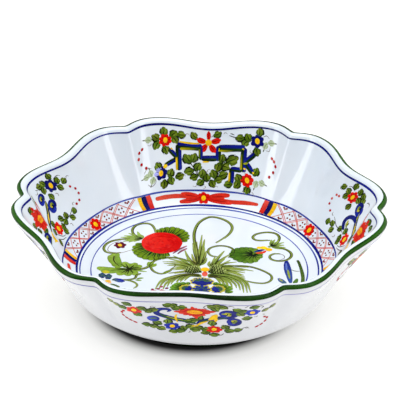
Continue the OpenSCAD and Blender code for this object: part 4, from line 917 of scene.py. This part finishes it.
def scroll_panel_out(tc, tag):
    """the wide scroll spray on the outside"""
    g, f = Piece(tag + "_leaves", "paint_green"), Piece(tag + "_flowers", "paint_border")
    z = z_out(tc)
    BL = (28, 42, 134)
    def sc(pts, w):
        stroke(f, z, pts, w, (16, 26, 110), h=0.10, col2=BL, edge=0.85, step=1.3)
    sc([(5.1, 43.9), (0.6, 46.3), (-4.7, 48.7), (-9.9, 49.9), (-16.5, 52.7), (-22.1, 55.9), (-25.4, 58.9), (-25.2, 63.1), (-22.4, 65.7), (-17.9, 65.9), (-14.9, 63.9), (-17.4, 61.5)], [2.2, 4.2, 5.0, 5.2, 5.4, 5.0, 5.0, 4.8, 5.0, 4.4, 3.0, 1.8])
    sc([(5.7, 43.1), (8.7, 47.7), (14.1, 50.9), (20.1, 53.0), (25.6, 55.4), (32.3, 56.9), (35.8, 59.9), (35.4, 63.6), (31.6, 65.7), (27.4, 64.9), (24.6, 62.3)], [2.0, 3.6, 4.0, 4.2, 4.6, 5.2, 5.4, 5.2, 5.0, 4.4, 2.4])
    sc([(26.6, 54.4), (31.5, 54.4), (35.4, 52.6), (38.3, 49.7), (38.4, 45.7), (35.6, 43.3), (32.0, 44.1), (30.6, 46.9)], [2.0, 3.4, 4.2, 4.8, 4.8, 4.6, 3.6, 1.8])
    stroke(f, z, [(-3, 48.0), (-9.9, 50.0), (-17.0, 52.6), (-23.0, 57.4)], [1.6, 3.2, 3.0, 1.4], (84, 122, 30), h=0.135, col2=(30, 70, 20)); stroke(f, z, [(-5, 49.4), (-12, 51.2), (-18, 54.6)], [0.7, 1.1, 0.6], (186, 184, 40), h=0.15)
    stroke(f, z, [(5.2, 43.7), (-1, 46.3), (-8, 48.6)], [1.0, 1.8, 1.0], (60, 100, 24), h=0.14); stroke(f, z, [(8, 46.8), (14, 50.4), (22, 53.4), (30, 56.0)], [0.9, 1.7, 1.7, 1.0], (50, 90, 30), h=0.14)
    stroke(f, z, [(25.6, 61.8), (30.0, 61.6), (32.6, 60.0), (29.4, 58.4)], [1.4, 2.6, 2.4, 1.2], (160, 168, 30), h=0.14, col2=(210, 204, 60)); stroke(f, z, [(31.6, 62.6), (34.0, 60.6)], [0.8, 1.2, 0.5], (30, 70, 30), h=0.15)
    stroke(f, z, [(33.0, 49.4), (35.4, 47.4), (33.6, 45.9)], [1.2, 2.2, 1.0], (130, 150, 40), h=0.14)
    oval(f, z, 30.2, 61.2, 6.5, 5.3, 0, w=3.4); oval(f, z, 34.8, 48.8, 5.3, 5.7, 0, w=3.2)
    blob(f, z, -28.4, 49.9, 4.6, BL, h=0.12, sx=1.06, sy=0.98, grad=(180, (70, 90, 204))); stroke(f, z, [(-31, 49.2), (-28, 50.8), (-25.6, 50.2)], [1.0, 2.0, 1.0], (90, 124, 60), h=0.14)
    # yellow wedge and stems
    for p, w in (([(15.2, 50.6), (18.8, 54.2), (22.2, 60.2)], [1.2, 4.2, 5.2, 2.8]), ([(20.9, 55.4), (21.2, 51.6), (20.6, 48.4)], [2.2, 3.0, 1.4]), ([(-10.2, 57.3), (-11.0, 53.5), (-10.6, 49.4), (-9.6, 45.5)], [1.3, 2.0, 1.6, 0.9]), ([(5.2, 40.5), (8.6, 44.7), (14.5, 48.9)], [1.4, 2.4, 1.1]), ([(5.4, 41.0), (1.4, 40.4)], [1.2, 1.8, 0.9])):
        stroke(f, z, p, w, (250, 206, 40), h=0.155, col2=(240, 190, 14))
    # the wide red flower: a ragged lozenge
    E = [(-12.2, 61.9), (-8.0, 65.1), (-3.7, 67.5), (2.5, 70.5), (6.2, 68.7), (9.3, 67.7), (13.7, 67.7), (16.7, 66.1), (21.4, 64.6), (17.0, 61.1), (13.2, 57.3), (8.9, 55.3), (5.9, 51.9), (3.2, 54.5), (0.0, 55.9), (-4.8, 57.1), (-8.3, 59.3)]
    cx, cy = 4.6, 61.9
    blob(f, z, cx, cy, 1.0, (206, 26, 14), h=0.095, sx=9.4, sy=6.0, n=40)
    for i, (x, y) in enumerate(E):
        stroke(f, z, [(cx + (x - cx) * 0.25, cy + (y - cy) * 0.25), (x, y)], [3.6, 4.4, 4.0, 3.0, 1.6], (210, 24 + int(J(10)), 12), h=0.10 + 0.002 * i, col2=(226, 62, 40), edge=0.84, step=1.3)
    for i in range(14):
        x, y = E[i]; q = rng.uniform(0.5, 0.85)
        stroke(f, z, [(cx + (x - cx) * 0.42, cy + (y - cy) * 0.42), (cx + (x - cx) * q, cy + (y - cy) * q)], [0.4, 0.8, 0.3], (168, 8, 6), h=0.142, step=1.2)
    blob(f, z, cx, cy, 1.0, (246, 160, 28), h=0.155, sx=6.4, sy=3.0, n=30, grad=(60, (252, 190, 30)))
    for k in range(6):
        stroke(f, z, [(cx - 4.4 + k * 1.7, cy - 1.0), (cx - 3.6 + k * 1.7, cy + 1.0)], [0.4, 0.6, 0.3], (222, 96, 20), h=0.17, step=0.8)
    flower(f, z, -42.6, 61.5, 6.6, 6, (214, 34, 22), squash=0.9); flower(f, z, 49.0, 63.5, 6.6, 6, (34, 48, 170), squash=0.9)
    flower(f, z, -14.0, 39.1, 6.7, 6, (30, 44, 160), squash=0.9); flower(f, z, 19.4, 36.3, 6.6, 7, (208, 22, 16), squash=0.9)
    L = [(-12.6, 71.3, 150), (-16.6, 71.9, 170), (-10.3, 67.4, 330), (-5.6, 68.9, 350), (18.3, 72.1, 140), (21.2, 68.9, 300), (26.9, 72.5, 340), (23.0, 73.9, 160), (50.7, 73.3, 10), (45.0, 53.7, 190), (-36.4, 65.7, 150), (-31.2, 62.5, 350), (-27.6, 63.9, 20),
         (-40.4, 54.5, 330), (-34.1, 38.1, 170), (-28.3, 37.3, 330), (-22.9, 34.9, 330), (-25.6, 42.9, 150), (-13.0, 30.9, 190), (-8.0, 31.7, 350), (-5.0, 36.3, 100), (0.0, 39.7, 30), (4.1, 34.3, 350), (-0.6, 47.3, 160), (3.1, 48.9, 20), (8.5, 53.1, 60), (7.6, 38.1, 150), (12.4, 35.7, 340),
         (12.5, 30.9, 200), (18.4, 45.7, 90), (28.3, 39.7, 130), (30.9, 32.9, 320), (37.7, 34.1, 0), (19.3, 27.3, 190), (38.1, 69.1, 150), (42.0, 66.1, 340), (40.2, 62.1, 300), (-17.3, 46.1, 90), (-52.1, 62.9, 320), (-47.6, 70.5, 160)]
    for (x, y, a) in L:
        leaf(g, z, x, y, 4.1, a + J(8), col=(72, 104, 24))
    for (x, y, a) in ((-56.3, 65.9, 150), (59.8, 63.7, 20), (66.2, 66.4, 40), (-61.5, 69.0, 150)):
        leaf(g, z, x, y, 3.6, a, col=(104, 128, 66))
    for p in ([(14.4, 73.9), (12.0, 70.3), (15.0, 67.3)], [(30, 74), (33, 75.6), (35.4, 74.2)], [(14.4, 45.6), (16.6, 49.8), (20.6, 49.6)], [(21.4, 25.4), (25.4, 26.4), (26.6, 29.2)], [(43.4, 73.6), (46, 76.4)], [(55, 75.6), (57.6, 72.4), (55.8, 69.6)], [(41.6, 35.8), (44.6, 37.4), (46.4, 36.4)], [(-29, 66.4), (-26, 69.4)]):
        stroke(g, z, p, [0.4, 0.7, 0.4], (40, 34, 22), h=0.12, step=1.4)
    for (x, y, a) in ((-29, 68.5, 40), (57.6, 55.4, 300), (44.6, 34.6, 350), (-1, 32, 250), (52.6, 56.0, 200)):
        tendril(g, z, x, y, a, r=1.0, w=0.5)
    dots(f, z, [(-51.5, 56.3), (-53.4, 52.6), (-53.0, 47.3), (-50.4, 43.9), (-47.3, 41.5), (-43.5, 39.5)], d=2.0, w=0.92); dots(f, z, [(60.0, 49.3), (62.5, 45.7), (61.1, 40.5), (57.6, 36.5), (53.7, 34.5)], d=2.0, w=0.92)
    return g, f

# ------------------------------------------------------------------ light settings
WORLD, EXPOSURE = (0.30, 0.64), 0.0
LIGHTS = [
    ("softbox_top", (0.1, 0.25, 2.2), (0, 0, 0), 2.2, 1.6, 29.5, (1.0, 1.0, 1.0)),
    ("softbox_left", (-2.0, -0.7, 1.2), (0, 0, 0.05), 0.90, 1.6, 16.5, (0.97, 0.985, 1.0)),
    ("softbox_right", (2.0, -0.9, 1.3), (0, 0, 0.05), 0.90, 1.6, 14.5, (1.0, 1.0, 1.0)),
]
FLOOR_GLOW = 0.80
# floor glow by distance from the bowl's axis: none at the foot and rising outward, a painted contact shadow round the
# foot, then even further out
GLOW_STEPS_AND_PAINTED_SHADOW = [(0.0, 0.0), (0.0885, 0.0), (0.0915, 0.18), (0.096, 0.48), (0.103, 0.74), (0.117, 0.885), (0.140, 0.945), (0.190, 1.0)]

# ------------------------------------------------------------------ clay and glaze bodies
def grid_rows(r0, r1, step):
    k = max(1, int(math.ceil((r1 - r0) / step)))
    return list(np.linspace(r0, r1, k + 1))
def rho_rows(start, end):
    """rows along the section, close together on the lip and the turn, wide apart on the flat"""
    cuts = [(0.0, RHO_FLOOR * 0.55, 8.0), (RHO_FLOOR * 0.55, RHO_FLOOR, 4.0), (RHO_FLOOR, RHO_WELL, 1.1), (RHO_WELL, 168.0, 2.2), (168.0, 176.0, 0.9),
            (176.0, 189.0, 0.42), (189.0, 196.0, 1.0), (196.0, RHO_BASE - 9, 2.4), (RHO_BASE - 9, RHO_BASE + 5, 0.6), (RHO_BASE + 5, RHO_END, 1.6)]
    out = []
    for a, b, s in cuts:
        a, b = max(a, start), min(b, end)
        if b - a > 1e-6:
            out += grid_rows(a, b, s)[:-1]
    return out + [end]
def fix_normals(ob):
    import bmesh
    bm = bmesh.new(); bm.from_mesh(ob.data)
    bmesh.ops.recalc_face_normals(bm, faces=bm.faces)
    bm.to_mesh(ob.data); bm.free()
    ob.data.polygons.foreach_set("use_smooth", [True] * len(ob.data.polygons))
def surf_rows(rhos, h):
    return np.concatenate([lift(ANG, np.full(NA, r), np.full(NA, float(h))) for r in rhos])

SEAM = 183.7
def shell(name, r0, r1, centre):
    top = rho_rows(r0, r1); low = [r0 + (r1 - r0) * k for k in np.linspace(0, 1, 40)] if not centre else rho_rows(r0, r1)[::2]
    if low[-1] != r1: low.append(r1)
    a, b = [r for r in top if not (centre and r < 0.5)], [r for r in low if not (centre and r < 0.5)]
    poles = [(0, 0, FLOOR_Z), (0, 0, FLOOR_Z - GLAZE_T)] if centre else None
    V, F = closed_shell(surf_rows(a, 0.0), surf_rows(b, -GLAZE_T), poles=poles)
    ob = new_mesh(name, V, F)
    fix_normals(ob)
    return ob
glaze_in = shell("glaze_inside_coat", 0.0, SEAM, True)
glaze_out = shell("glaze_outside_coat", SEAM, RHO_END - 0.3, False)

def revolve(name, prof, n=360, mod=None):
    """closed ring turned from a closed profile of (r, z) in mm"""
    p = np.asarray(prof, float); a = np.radians(np.arange(n) * 360.0 / n); k = len(p)
    V = np.stack([np.outer(np.cos(a), p[:, 0]), np.outer(np.sin(a), p[:, 0]), np.tile(p[:, 1], (n, 1))], -1)
    if mod is not None:
        V = mod(V, np.degrees(a))
    F = [(i * k + j, ((i + 1) % n) * k + j, ((i + 1) % n) * k + (j + 1) % k, i * k + (j + 1) % k) for i in range(n) for j in range(k)]
    ob = new_mesh(name, V.reshape(-1, 3), F)
    fix_normals(ob)
    return ob

def clay():
    rows = [r for r in rho_rows(0.0, RHO_END) if r > 0.5][::2]
    if rows[-1] != RHO_END: rows.append(RHO_END)
    V = [surf_rows(rows, -GLAZE_T)]
    n = len(rows)
    # under the foot, up into the recess inside it and in to the middle
    top = FOOT_H + RECESS
    under = [(FOOT_R - 0.4, FOOT_H), (FOOT_RI - 0.2, FOOT_H), (FOOT_RI - 0.6, FOOT_H + 0.5), (FOOT_RI - 1.2, top), (60.0, top), (40.0, top), (20.0, top)]
    t = np.radians(ANG)
    for r, z in under:
        V.append(np.stack([r * np.cos(t), r * np.sin(t), np.full(NA, z)], -1))
    V.append(np.array([[0, 0, FLOOR_Z - GLAZE_T], [0, 0, top]]))
    m = n + len(under)
    F = quads(0, m, NA)
    p = m * NA
    for j in range(NA):
        k = (j + 1) % NA
        F.append((p, k, j)); F.append((p + 1, (m - 1) * NA + j, (m - 1) * NA + k))
    ob = new_mesh("bowl_clay", np.concatenate(V), F)
    fix_normals(ob)
    return ob
clay_body = clay()

FOOTP = [(78.9, 14.6), (78.95, 8.0), (79.05, 4.0), (79.2, 1.8), (79.32, 1.05), (79.5, 0.6), (79.8, 0.22), (80.2, 0.0), (82.9, 0.0), (83.5, 0.09), (84.0, 0.3), (84.4, 0.6), (84.7, 1.0), (84.95, 1.8), (85.2, 3.0), (85.6, 6.0), (86.0, 9.0), (86.25, 12.0), (86.5, 14.6)]
foot = revolve("foot_ring_clay", FOOTP)
def wavy(V, a):
    # brushed lower edge: the coat runs a little higher or lower round the ring
    r = np.radians(a)
    V[:, :2, 2] += (0.07 * np.sin(5 * r + 1.0) + 0.05 * np.sin(17 * r))[:, None]; V[:, 6:9, 2] += (0.3 * np.sin(4 * r) + 0.2 * np.sin(13 * r + 2.0) - 0.5)[:, None]
    return V
foot_band = revolve("foot_green_band", [(84.42, 0.62), (84.62, 0.5), (85.22, 1.7), (85.5, 3.0), (85.88, 6.0), (86.27, 9.0), (86.58, 12.4), (86.55, 12.9), (86.3, 13.1), (85.9, 9.0), (85.5, 6.0), (85.1, 3.0)], mod=wavy)

def under_glaze():
    # a disc of glaze under the floor, pooled slightly at its edge, with the three stilt marks of the kiln
    n = 240; a = np.radians(np.arange(n) * 360.0 / n)
    radii = np.concatenate([np.linspace(2, 72, 38), [73.6, 75.0, 76.0, 76.8, 77.2, 77.35]])
    e, z0 = 77.35, FOOT_H + RECESS - 0.5
    def z(r, t):
        d = z0 + 0.02 + 0.10 * np.clip((r - 69) / 8.3, 0, 1) ** 2
        for k in range(3):
            c = math.radians(30 + 120 * k); x, y = 50 * math.cos(c), 50 * math.sin(c)
            q = np.hypot(r * np.cos(t) - x, r * np.sin(t) - y)
            d = d + 0.34 * np.exp(-(q / 1.5) ** 2)
        return np.where(r > 76.5, z0 + 0.16 + (r - 76.5) * 0.30, d)
    V = [np.stack([r * np.cos(a), r * np.sin(a), np.broadcast_to(z(r, a), a.shape)], -1) for r in radii]
    V.append(np.stack([e * np.cos(a), e * np.sin(a), np.full(n, z0 + 0.49)], -1)); V.append(np.stack([40 * np.cos(a), 40 * np.sin(a), np.full(n, z0 + 0.49)], -1))
    m = len(V); V.append(np.array([[0, 0, z0 + 0.02], [0, 0, z0 + 0.49]])); p = m * n
    F = [(i * n + j, (i + 1) * n + j, (i + 1) * n + (j + 1) % n, i * n + (j + 1) % n) for i in range(m - 1) for j in range(n)]
    for j in range(n):
        F.append((p, (j + 1) % n, j)); F.append((p + 1, (m - 1) * n + j, (m - 1) * n + (j + 1) % n))
    ob = new_mesh("glaze_under_coat", np.concatenate(V), F)
    fix_normals(ob)
    return ob
glaze_under = under_glaze()

# ------------------------------------------------------------------ green rim band
def rim_piece():
    pc = Piece("rim_green_band", "paint_green", "rim_band")
    a = np.arange(0, 360, 0.5); r = np.radians(a); g = np.random.default_rng(5); p = g.uniform(0, 6.28, 8)
    inner = 181.3 + 0.5 * np.clip(-np.sin(r), 0, 1) - 1.1 * np.clip(np.sin(r), 0, 1) ** 0.6 + 0.24 * np.sin(6 * r + p[0]) + 0.16 * np.sin(11 * r + p[1]) + 0.10 * np.sin(23 * r + p[2])
    outer = 185.8 + 0.30 * np.sin(5 * r + p[3]) + 0.22 * np.sin(13 * r + p[4]) + 0.10 * np.sin(31 * r + p[5])
    fr = np.array([0, 0.03, 0.10, 0.2, 0.3, 0.4, 0.5, 0.6, 0.7, 0.8, 0.9, 0.97, 1.0])
    RH = inner[:, None] + (outer - inner)[:, None] * fr[None]
    TH = np.broadcast_to(a[:, None], RH.shape)
    dark, mid, light = lin((3, 30, 1)), lin((26, 80, 8)), lin((84, 134, 48))
    # painted light: the band is mixed lighter towards the left and right sides, where the side lamps fall, and darker
    # at the front and back
    side = np.clip(np.abs(np.cos(r)) * 1.25, 0, 1) ** 1.5
    q = np.clip(0.04 + 0.72 * side + 0.18 * np.sin(7 * r + p[6]) + 0.12 * np.sin(19 * r + p[7]), 0, 1)[:, None]
    C = dark[None] * (1 - q) + mid[None] * q
    C = C[:, None, :] * np.ones((1, len(fr), 1))
    lay = 1 + 0.22 * np.sin(r[:, None] * 26 + fr[None] * 9 + p[2]) * np.sin(r[:, None] * 9 + p[3])
    C = C * lay[..., None]
    # painted highlight: a lighter green stripe along the middle of the band, stronger at the sides
    painted_highlight = (np.exp(-((fr[None] - 0.5 - 0.12 * np.sin(9 * r + p[1])[:, None]) / 0.22) ** 2) * (0.04 + 0.22 * side[:, None]))[..., None]
    C = C * (1 - painted_highlight) + light * painted_highlight
    C[:, 0] = C[:, 0] * 0.6 + lin((104, 136, 70)) * 0.4; C[:, -1] = C[:, -1] * 0.75 + lin((104, 136, 70)) * 0.25
    n, m = RH.shape
    F = [(i * m + j, i * m + j + 1, ((i + 1) % n) * m + j + 1, ((i + 1) % n) * m + j) for i in range(n) for j in range(m - 1)]
    H = np.broadcast_to(np.where((fr < 0.02) | (fr > 0.98), 0.06, 0.13)[None], RH.shape)
    pc.add(lambda P: (P[:, 0], P[:, 1]), np.stack([TH.ravel(), RH.ravel()], -1), F, np.clip(C.reshape(-1, 3), 0, 1), H.ravel())
    return pc
rim = rim_piece()

# ------------------------------------------------------------------ materials
def mat(name):
    m = bpy.data.materials.new(name); m.use_nodes = True
    nt = m.node_tree; nt.nodes.clear()
    out = nt.nodes.new("ShaderNodeOutputMaterial"); b = nt.nodes.new("ShaderNodeBsdfPrincipled")
    nt.links.new(b.outputs[0], out.inputs[0])
    return m, nt, b
def node(nt, kind, **v):
    n = nt.nodes.new(kind)
    for k, x in v.items():
        if k in n.inputs: n.inputs[k].default_value = x
        else: setattr(n, k, x)
    return n
def obj_coord(nt): return nt.nodes.new("ShaderNodeTexCoord").outputs["Object"]
def noise(nt, vec, scale, detail=3.0, rough=0.5, dist=0.0):
    n = node(nt, "ShaderNodeTexNoise"); n.inputs["Scale"].default_value = scale; n.inputs["Detail"].default_value = detail
    n.inputs["Roughness"].default_value = rough; n.inputs["Distortion"].default_value = dist
    nt.links.new(vec, n.inputs["Vector"]); return n
def ramp(nt, fac, stops):
    r = nt.nodes.new("ShaderNodeValToRGB"); el = r.color_ramp.elements
    while len(el) < len(stops): el.new(0.5)
    for e, (p, c) in zip(el, stops):
        e.position = p; e.color = (*c, 1.0)
    nt.links.new(fac, r.inputs[0]); return r
def mixc(nt, a, b, fac, mode="MIX"):
    m = nt.nodes.new("ShaderNodeMix"); m.data_type = "RGBA"; m.blend_type = mode
    for k, v in ((0, fac), (6, a), (7, b)):
        if hasattr(v, "default_value") or hasattr(v, "links"): nt.links.new(v, m.inputs[k])
        else: m.inputs[k].default_value = v if k == 0 else (*v, 1.0)
    return m.outputs[2]
def gloss_bump(nt, b, vec, fine, strength, dist):
    n = noise(nt, vec, fine, 2.0); bp = nt.nodes.new("ShaderNodeBump")
    bp.inputs["Strength"].default_value = strength; bp.inputs["Distance"].default_value = dist
    nt.links.new(n.outputs["Fac"], bp.inputs["Height"]); nt.links.new(bp.outputs[0], b.inputs["Normal"])
    return bp

def glaze_material(name, a, c):
    m, nt, b = mat(name)
    v = obj_coord(nt)
    big = ramp(nt, noise(nt, v, 14.0, 4.0, 0.55).outputs["Fac"], [(0.30, tuple(lin(a))), (0.72, tuple(lin(c)))])
    # faint pinholes and specks in the glaze
    vo = node(nt, "ShaderNodeTexVoronoi"); vo.inputs["Scale"].default_value = 95.0; nt.links.new(v, vo.inputs["Vector"])
    spot = ramp(nt, vo.outputs["Distance"], [(0.0, (0.86, 0.82, 0.78)), (0.045, (1, 1, 1))])
    few = ramp(nt, noise(nt, v, 31.0, 1.0).outputs["Fac"], [(0.60, (0, 0, 0)), (0.66, (1, 1, 1))])
    spot2 = mixc(nt, (1, 1, 1), spot.outputs[0], few.outputs[0])
    col = mixc(nt, big.outputs[0], spot2, 1.0, "MULTIPLY")
    nt.links.new(col, b.inputs["Base Color"])
    rr = ramp(nt, noise(nt, v, 40.0, 3.0).outputs["Fac"], [(0.3, (0.07,) * 3), (0.7, (0.13,) * 3)])
    nt.links.new(rr.outputs[0], b.inputs["Roughness"])
    b.inputs["IOR"].default_value = 1.5; b.inputs["Coat Weight"].default_value = 0.25; b.inputs["Coat Roughness"].default_value = 0.04
    gloss_bump(nt, b, v, 120.0, 0.05, 0.0006)
    return m
def paint_material(name, amt=0.22, ior=1.12):
    m, nt, b = mat(name)
    v = obj_coord(nt)
    at = nt.nodes.new("ShaderNodeAttribute"); at.attribute_name = "paint"
    mp = node(nt, "ShaderNodeMapping"); mp.inputs["Scale"].default_value = (1.0, 1.6, 1.3); mp.inputs["Rotation"].default_value = (0.3, 0.2, 0.6); nt.links.new(v, mp.inputs["Vector"])
    n1 = noise(nt, mp.outputs[0], 420.0, 4.0, 0.6, 0.4)
    tone = ramp(nt, n1.outputs["Fac"], [(0.28, (1 - amt,) * 3), (0.5, (1, 1, 1)), (0.74, (1 + amt * 0.8,) * 3)])
    col = mixc(nt, at.outputs["Color"], tone.outputs[0], 1.0, "MULTIPLY")
    # thin colour lets a little of the white glaze through in patches
    thin = ramp(nt, noise(nt, v, 230.0, 3.0, 0.5).outputs["Fac"], [(0.56, (0, 0, 0)), (0.82, (0.018,) * 3)])
    col2 = mixc(nt, col, tuple(lin((236, 240, 246))), thin.outputs[0])
    nt.links.new(col2, b.inputs["Base Color"])
    rr = ramp(nt, noise(nt, v, 90.0, 2.0).outputs["Fac"], [(0.3, (0.12,) * 3), (0.7, (0.24,) * 3)])
    nt.links.new(rr.outputs[0], b.inputs["Roughness"])
    b.inputs["IOR"].default_value = ior
    gloss_bump(nt, b, v, 260.0, 0.08, 0.0004)
    return m
def clay_material():
    m, nt, b = mat("bare_clay")
    v = obj_coord(nt)
    c = ramp(nt, noise(nt, v, 60.0, 6.0, 0.65).outputs["Fac"], [(0.3, tuple(lin((196, 164, 132)))), (0.55, tuple(lin((222, 194, 164)))), (0.8, tuple(lin((238, 216, 190))))])
    g = ramp(nt, noise(nt, v, 900.0, 3.0).outputs["Fac"], [(0.35, (0.82,) * 3), (0.6, (1, 1, 1))])
    nt.links.new(mixc(nt, c.outputs[0], g.outputs[0], 1.0, "MULTIPLY"), b.inputs["Base Color"])
    rr = ramp(nt, noise(nt, v, 300.0, 3.0).outputs["Fac"], [(0.3, (0.72,) * 3), (0.7, (0.92,) * 3)])
    nt.links.new(rr.outputs[0], b.inputs["Roughness"])
    gloss_bump(nt, b, v, 700.0, 0.5, 0.0004)
    return m
def green_foot_material():
    m, nt, b = mat("foot_green")
    v = obj_coord(nt)
    # the green runs from near black to mid green: the band's own dark green, made darker still as painted shade for the
    # foot in the shadow under the bowl
    c = ramp(nt, noise(nt, v, 55.0, 4.0, 0.6, 0.6).outputs["Fac"], [(0.3, tuple(lin((6, 16, 6)))), (0.55, tuple(lin((14, 36, 8)))), (0.8, tuple(lin((50, 84, 24))))])
    nt.links.new(c.outputs[0], b.inputs["Base Color"])
    rr = ramp(nt, noise(nt, v, 90.0, 2.0).outputs["Fac"], [(0.3, (0.10,) * 3), (0.7, (0.22,) * 3)])
    nt.links.new(rr.outputs[0], b.inputs["Roughness"])
    gloss_bump(nt, b, v, 260.0, 0.1, 0.0004)
    return m

M_GLAZE = glaze_material("white_glaze", (228, 238, 248), (237, 244, 251))
# the outside and the underside take the same white glaze made darker and greyer: painted shade, as they get less light
# than the inside
M_GLAZE_OUT_SHADED = glaze_material("white_glaze_outside_shaded", (213, 215, 222), (221, 223, 228))
M_PAINT = paint_material("brushed_colours")
M_GREEN = paint_material("brushed_greens", amt=0.26)
M_LINE = paint_material("banding_blue", amt=0.18)
M_RIM = paint_material("rim_green", amt=0.30, ior=1.20)
M_CLAY = clay_material(); M_FOOT = green_foot_material()

# ------------------------------------------------------------------ pieces
panels = []
panels += fret_panel(90, "back_wall"); panels += fret_panel(270, "front_wall")
panels += scroll_panel_in(180, "left_wall", False); panels += scroll_panel_in(0, "right_wall", True)
for tc, tag in ((270, "front_outside"), (0, "right_outside"), (90, "back_outside"), (180, "left_outside")):
    panels += scroll_panel_out(tc, tag)
for pc in [well_green, well_flowers, well_grass, lines, bl, br, rim] + panels:
    m = M_LINE if pc is lines else (M_RIM if pc is rim else (M_GREEN if pc.slot == "paint_green" else M_PAINT))
    ob = pc.build(m)
    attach(ob, "root")
    if pc.node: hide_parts(pc.node)
for ob, m, s, nd in ((clay_body, M_CLAY, "clay", "bowl_body"), (foot, M_CLAY, "clay", "foot_ring"), (glaze_in, M_GLAZE, "glaze", "glaze_inside"),
                     (glaze_out, M_GLAZE_OUT_SHADED, "glaze", "glaze_outside"), (glaze_under, M_GLAZE_OUT_SHADED, "glaze", "glaze_underside"), (foot_band, M_FOOT, "paint_green", "foot_band")):
    ob.data.materials.append(m)
    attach(ob, "root"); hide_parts(nd)

# ------------------------------------------------------------------ floor, light, camera
sc = bpy.context.scene
me = bpy.data.meshes.new("studio_floor"); S = 7.0
me.from_pydata([(-S, -S, 0), (S, -S, 0), (S, S, 0), (-S, S, 0)], [], [(0, 1, 2, 3)]); me.update()
floor = bpy.data.objects.new("studio_floor", me); sc.collection.objects.link(floor)
mf, nt, b = mat("paper"); b.inputs["Roughness"].default_value = 0.9
b.inputs["Specular IOR Level"].default_value = 0.2
b.inputs["Emission Color"].default_value = (1, 1, 0.985, 1)
# the paper glows evenly further out; close to the foot its glow and its own colour are made darker by distance from the
# axis, a painted contact shadow
ln = node(nt, "ShaderNodeVectorMath"); ln.operation = "LENGTH"
# the painted shadow is centred a little to the left and is narrower across, so it is lighter under the right side than
# the left
sh = node(nt, "ShaderNodeVectorMath"); sh.operation = "MULTIPLY_ADD"; nt.links.new(obj_coord(nt), sh.inputs[0])
sh.inputs[1].default_value = (1.06, 1.0, 1.0); sh.inputs[2].default_value = (0.0045, 0.0, 0.0); nt.links.new(sh.outputs[0], ln.inputs[0])
mr = node(nt, "ShaderNodeMapRange"); mr.inputs["From Min"].default_value = 0.0; mr.inputs["From Max"].default_value = 0.30; nt.links.new(ln.outputs["Value"], mr.inputs["Value"])
glow_and_painted_shadow = ramp(nt, mr.outputs["Result"], [(r / 0.30, (FLOOR_GLOW * g,) * 3) for r, g in GLOW_STEPS_AND_PAINTED_SHADOW]); nt.links.new(glow_and_painted_shadow.outputs[0], b.inputs["Emission Strength"])
# the paper's own colour is near black close to the foot and pale further out: painted contact shadow
colour_and_painted_shadow = ramp(nt, mr.outputs["Result"], [(0.0, (0.02,) * 3), (0.0865 / 0.30, (0.03,) * 3), (0.0905 / 0.30, (0.12,) * 3), (0.100 / 0.30, (0.36, 0.36, 0.352)), (1.0, (0.38, 0.38, 0.372))]); nt.links.new(colour_and_painted_shadow.outputs[0], b.inputs["Base Color"])
me.materials.append(mf)

w = bpy.data.worlds.new("studio"); sc.world = w; w.use_nodes = True
w.node_tree.nodes["Background"].inputs[0].default_value = (1.0, 1.0, 1.0, 1); wt = w.node_tree
# softer light from the near side than from behind
sx_ = wt.nodes.new("ShaderNodeSeparateXYZ"); wt.links.new(wt.nodes.new("ShaderNodeTexCoord").outputs["Generated"], sx_.inputs[0])
wm = wt.nodes.new("ShaderNodeMapRange"); wt.links.new(sx_.outputs["Y"], wm.inputs["Value"])
for k, v in zip(("From Min", "From Max", "To Min", "To Max"), (-1.0, 1.0, WORLD[0], WORLD[1])): wm.inputs[k].default_value = v
wt.links.new(wm.outputs["Result"], wt.nodes["Background"].inputs[1])
def area(name, loc, aim, sx, sy, power, color=(1, 1, 1)):
    d = bpy.data.lights.new(name, "AREA"); d.shape = "RECTANGLE"; d.size = sx; d.size_y = sy; d.energy = power; d.color = color
    o = bpy.data.objects.new(name, d); sc.collection.objects.link(o)
    from mathutils import Vector
    o.location = loc; o.rotation_euler = (Vector(aim) - Vector(loc)).to_track_quat("-Z", "Y").to_euler()
    return o
for args in LIGHTS: area(*args)

from mathutils import Matrix
az, el, roll = math.radians(3.376), math.radians(29.689), math.radians(0.5)
back = np.array([math.sin(az) * math.cos(el), -math.cos(az) * math.cos(el), math.sin(el)])
right = np.array([math.cos(az), math.sin(az), 0.0]); up = np.cross(back, right)
T = right * 0.00003 + np.array([0, 0, 0.08956]); C = T + back * 1.9958
R = right * math.cos(roll) + up * math.sin(roll); U = -right * math.sin(roll) + up * math.cos(roll)
cd = bpy.data.cameras.new("camera"); cam = bpy.data.objects.new("camera", cd); sc.collection.objects.link(cam)
cd.sensor_width = 36.0; cd.lens = 217.88; cd.clip_start = 0.05; cd.clip_end = 60
cam.matrix_world = Matrix(((R[0], U[0], back[0], C[0]), (R[1], U[1], back[1], C[1]), (R[2], U[2], back[2], C[2]), (0, 0, 0, 1)))
sc.camera = cam
sc.view_settings.view_transform = "Standard"; sc.view_settings.look = "None"; sc.view_settings.exposure = EXPOSURE; sc.view_settings.gamma = 1.0
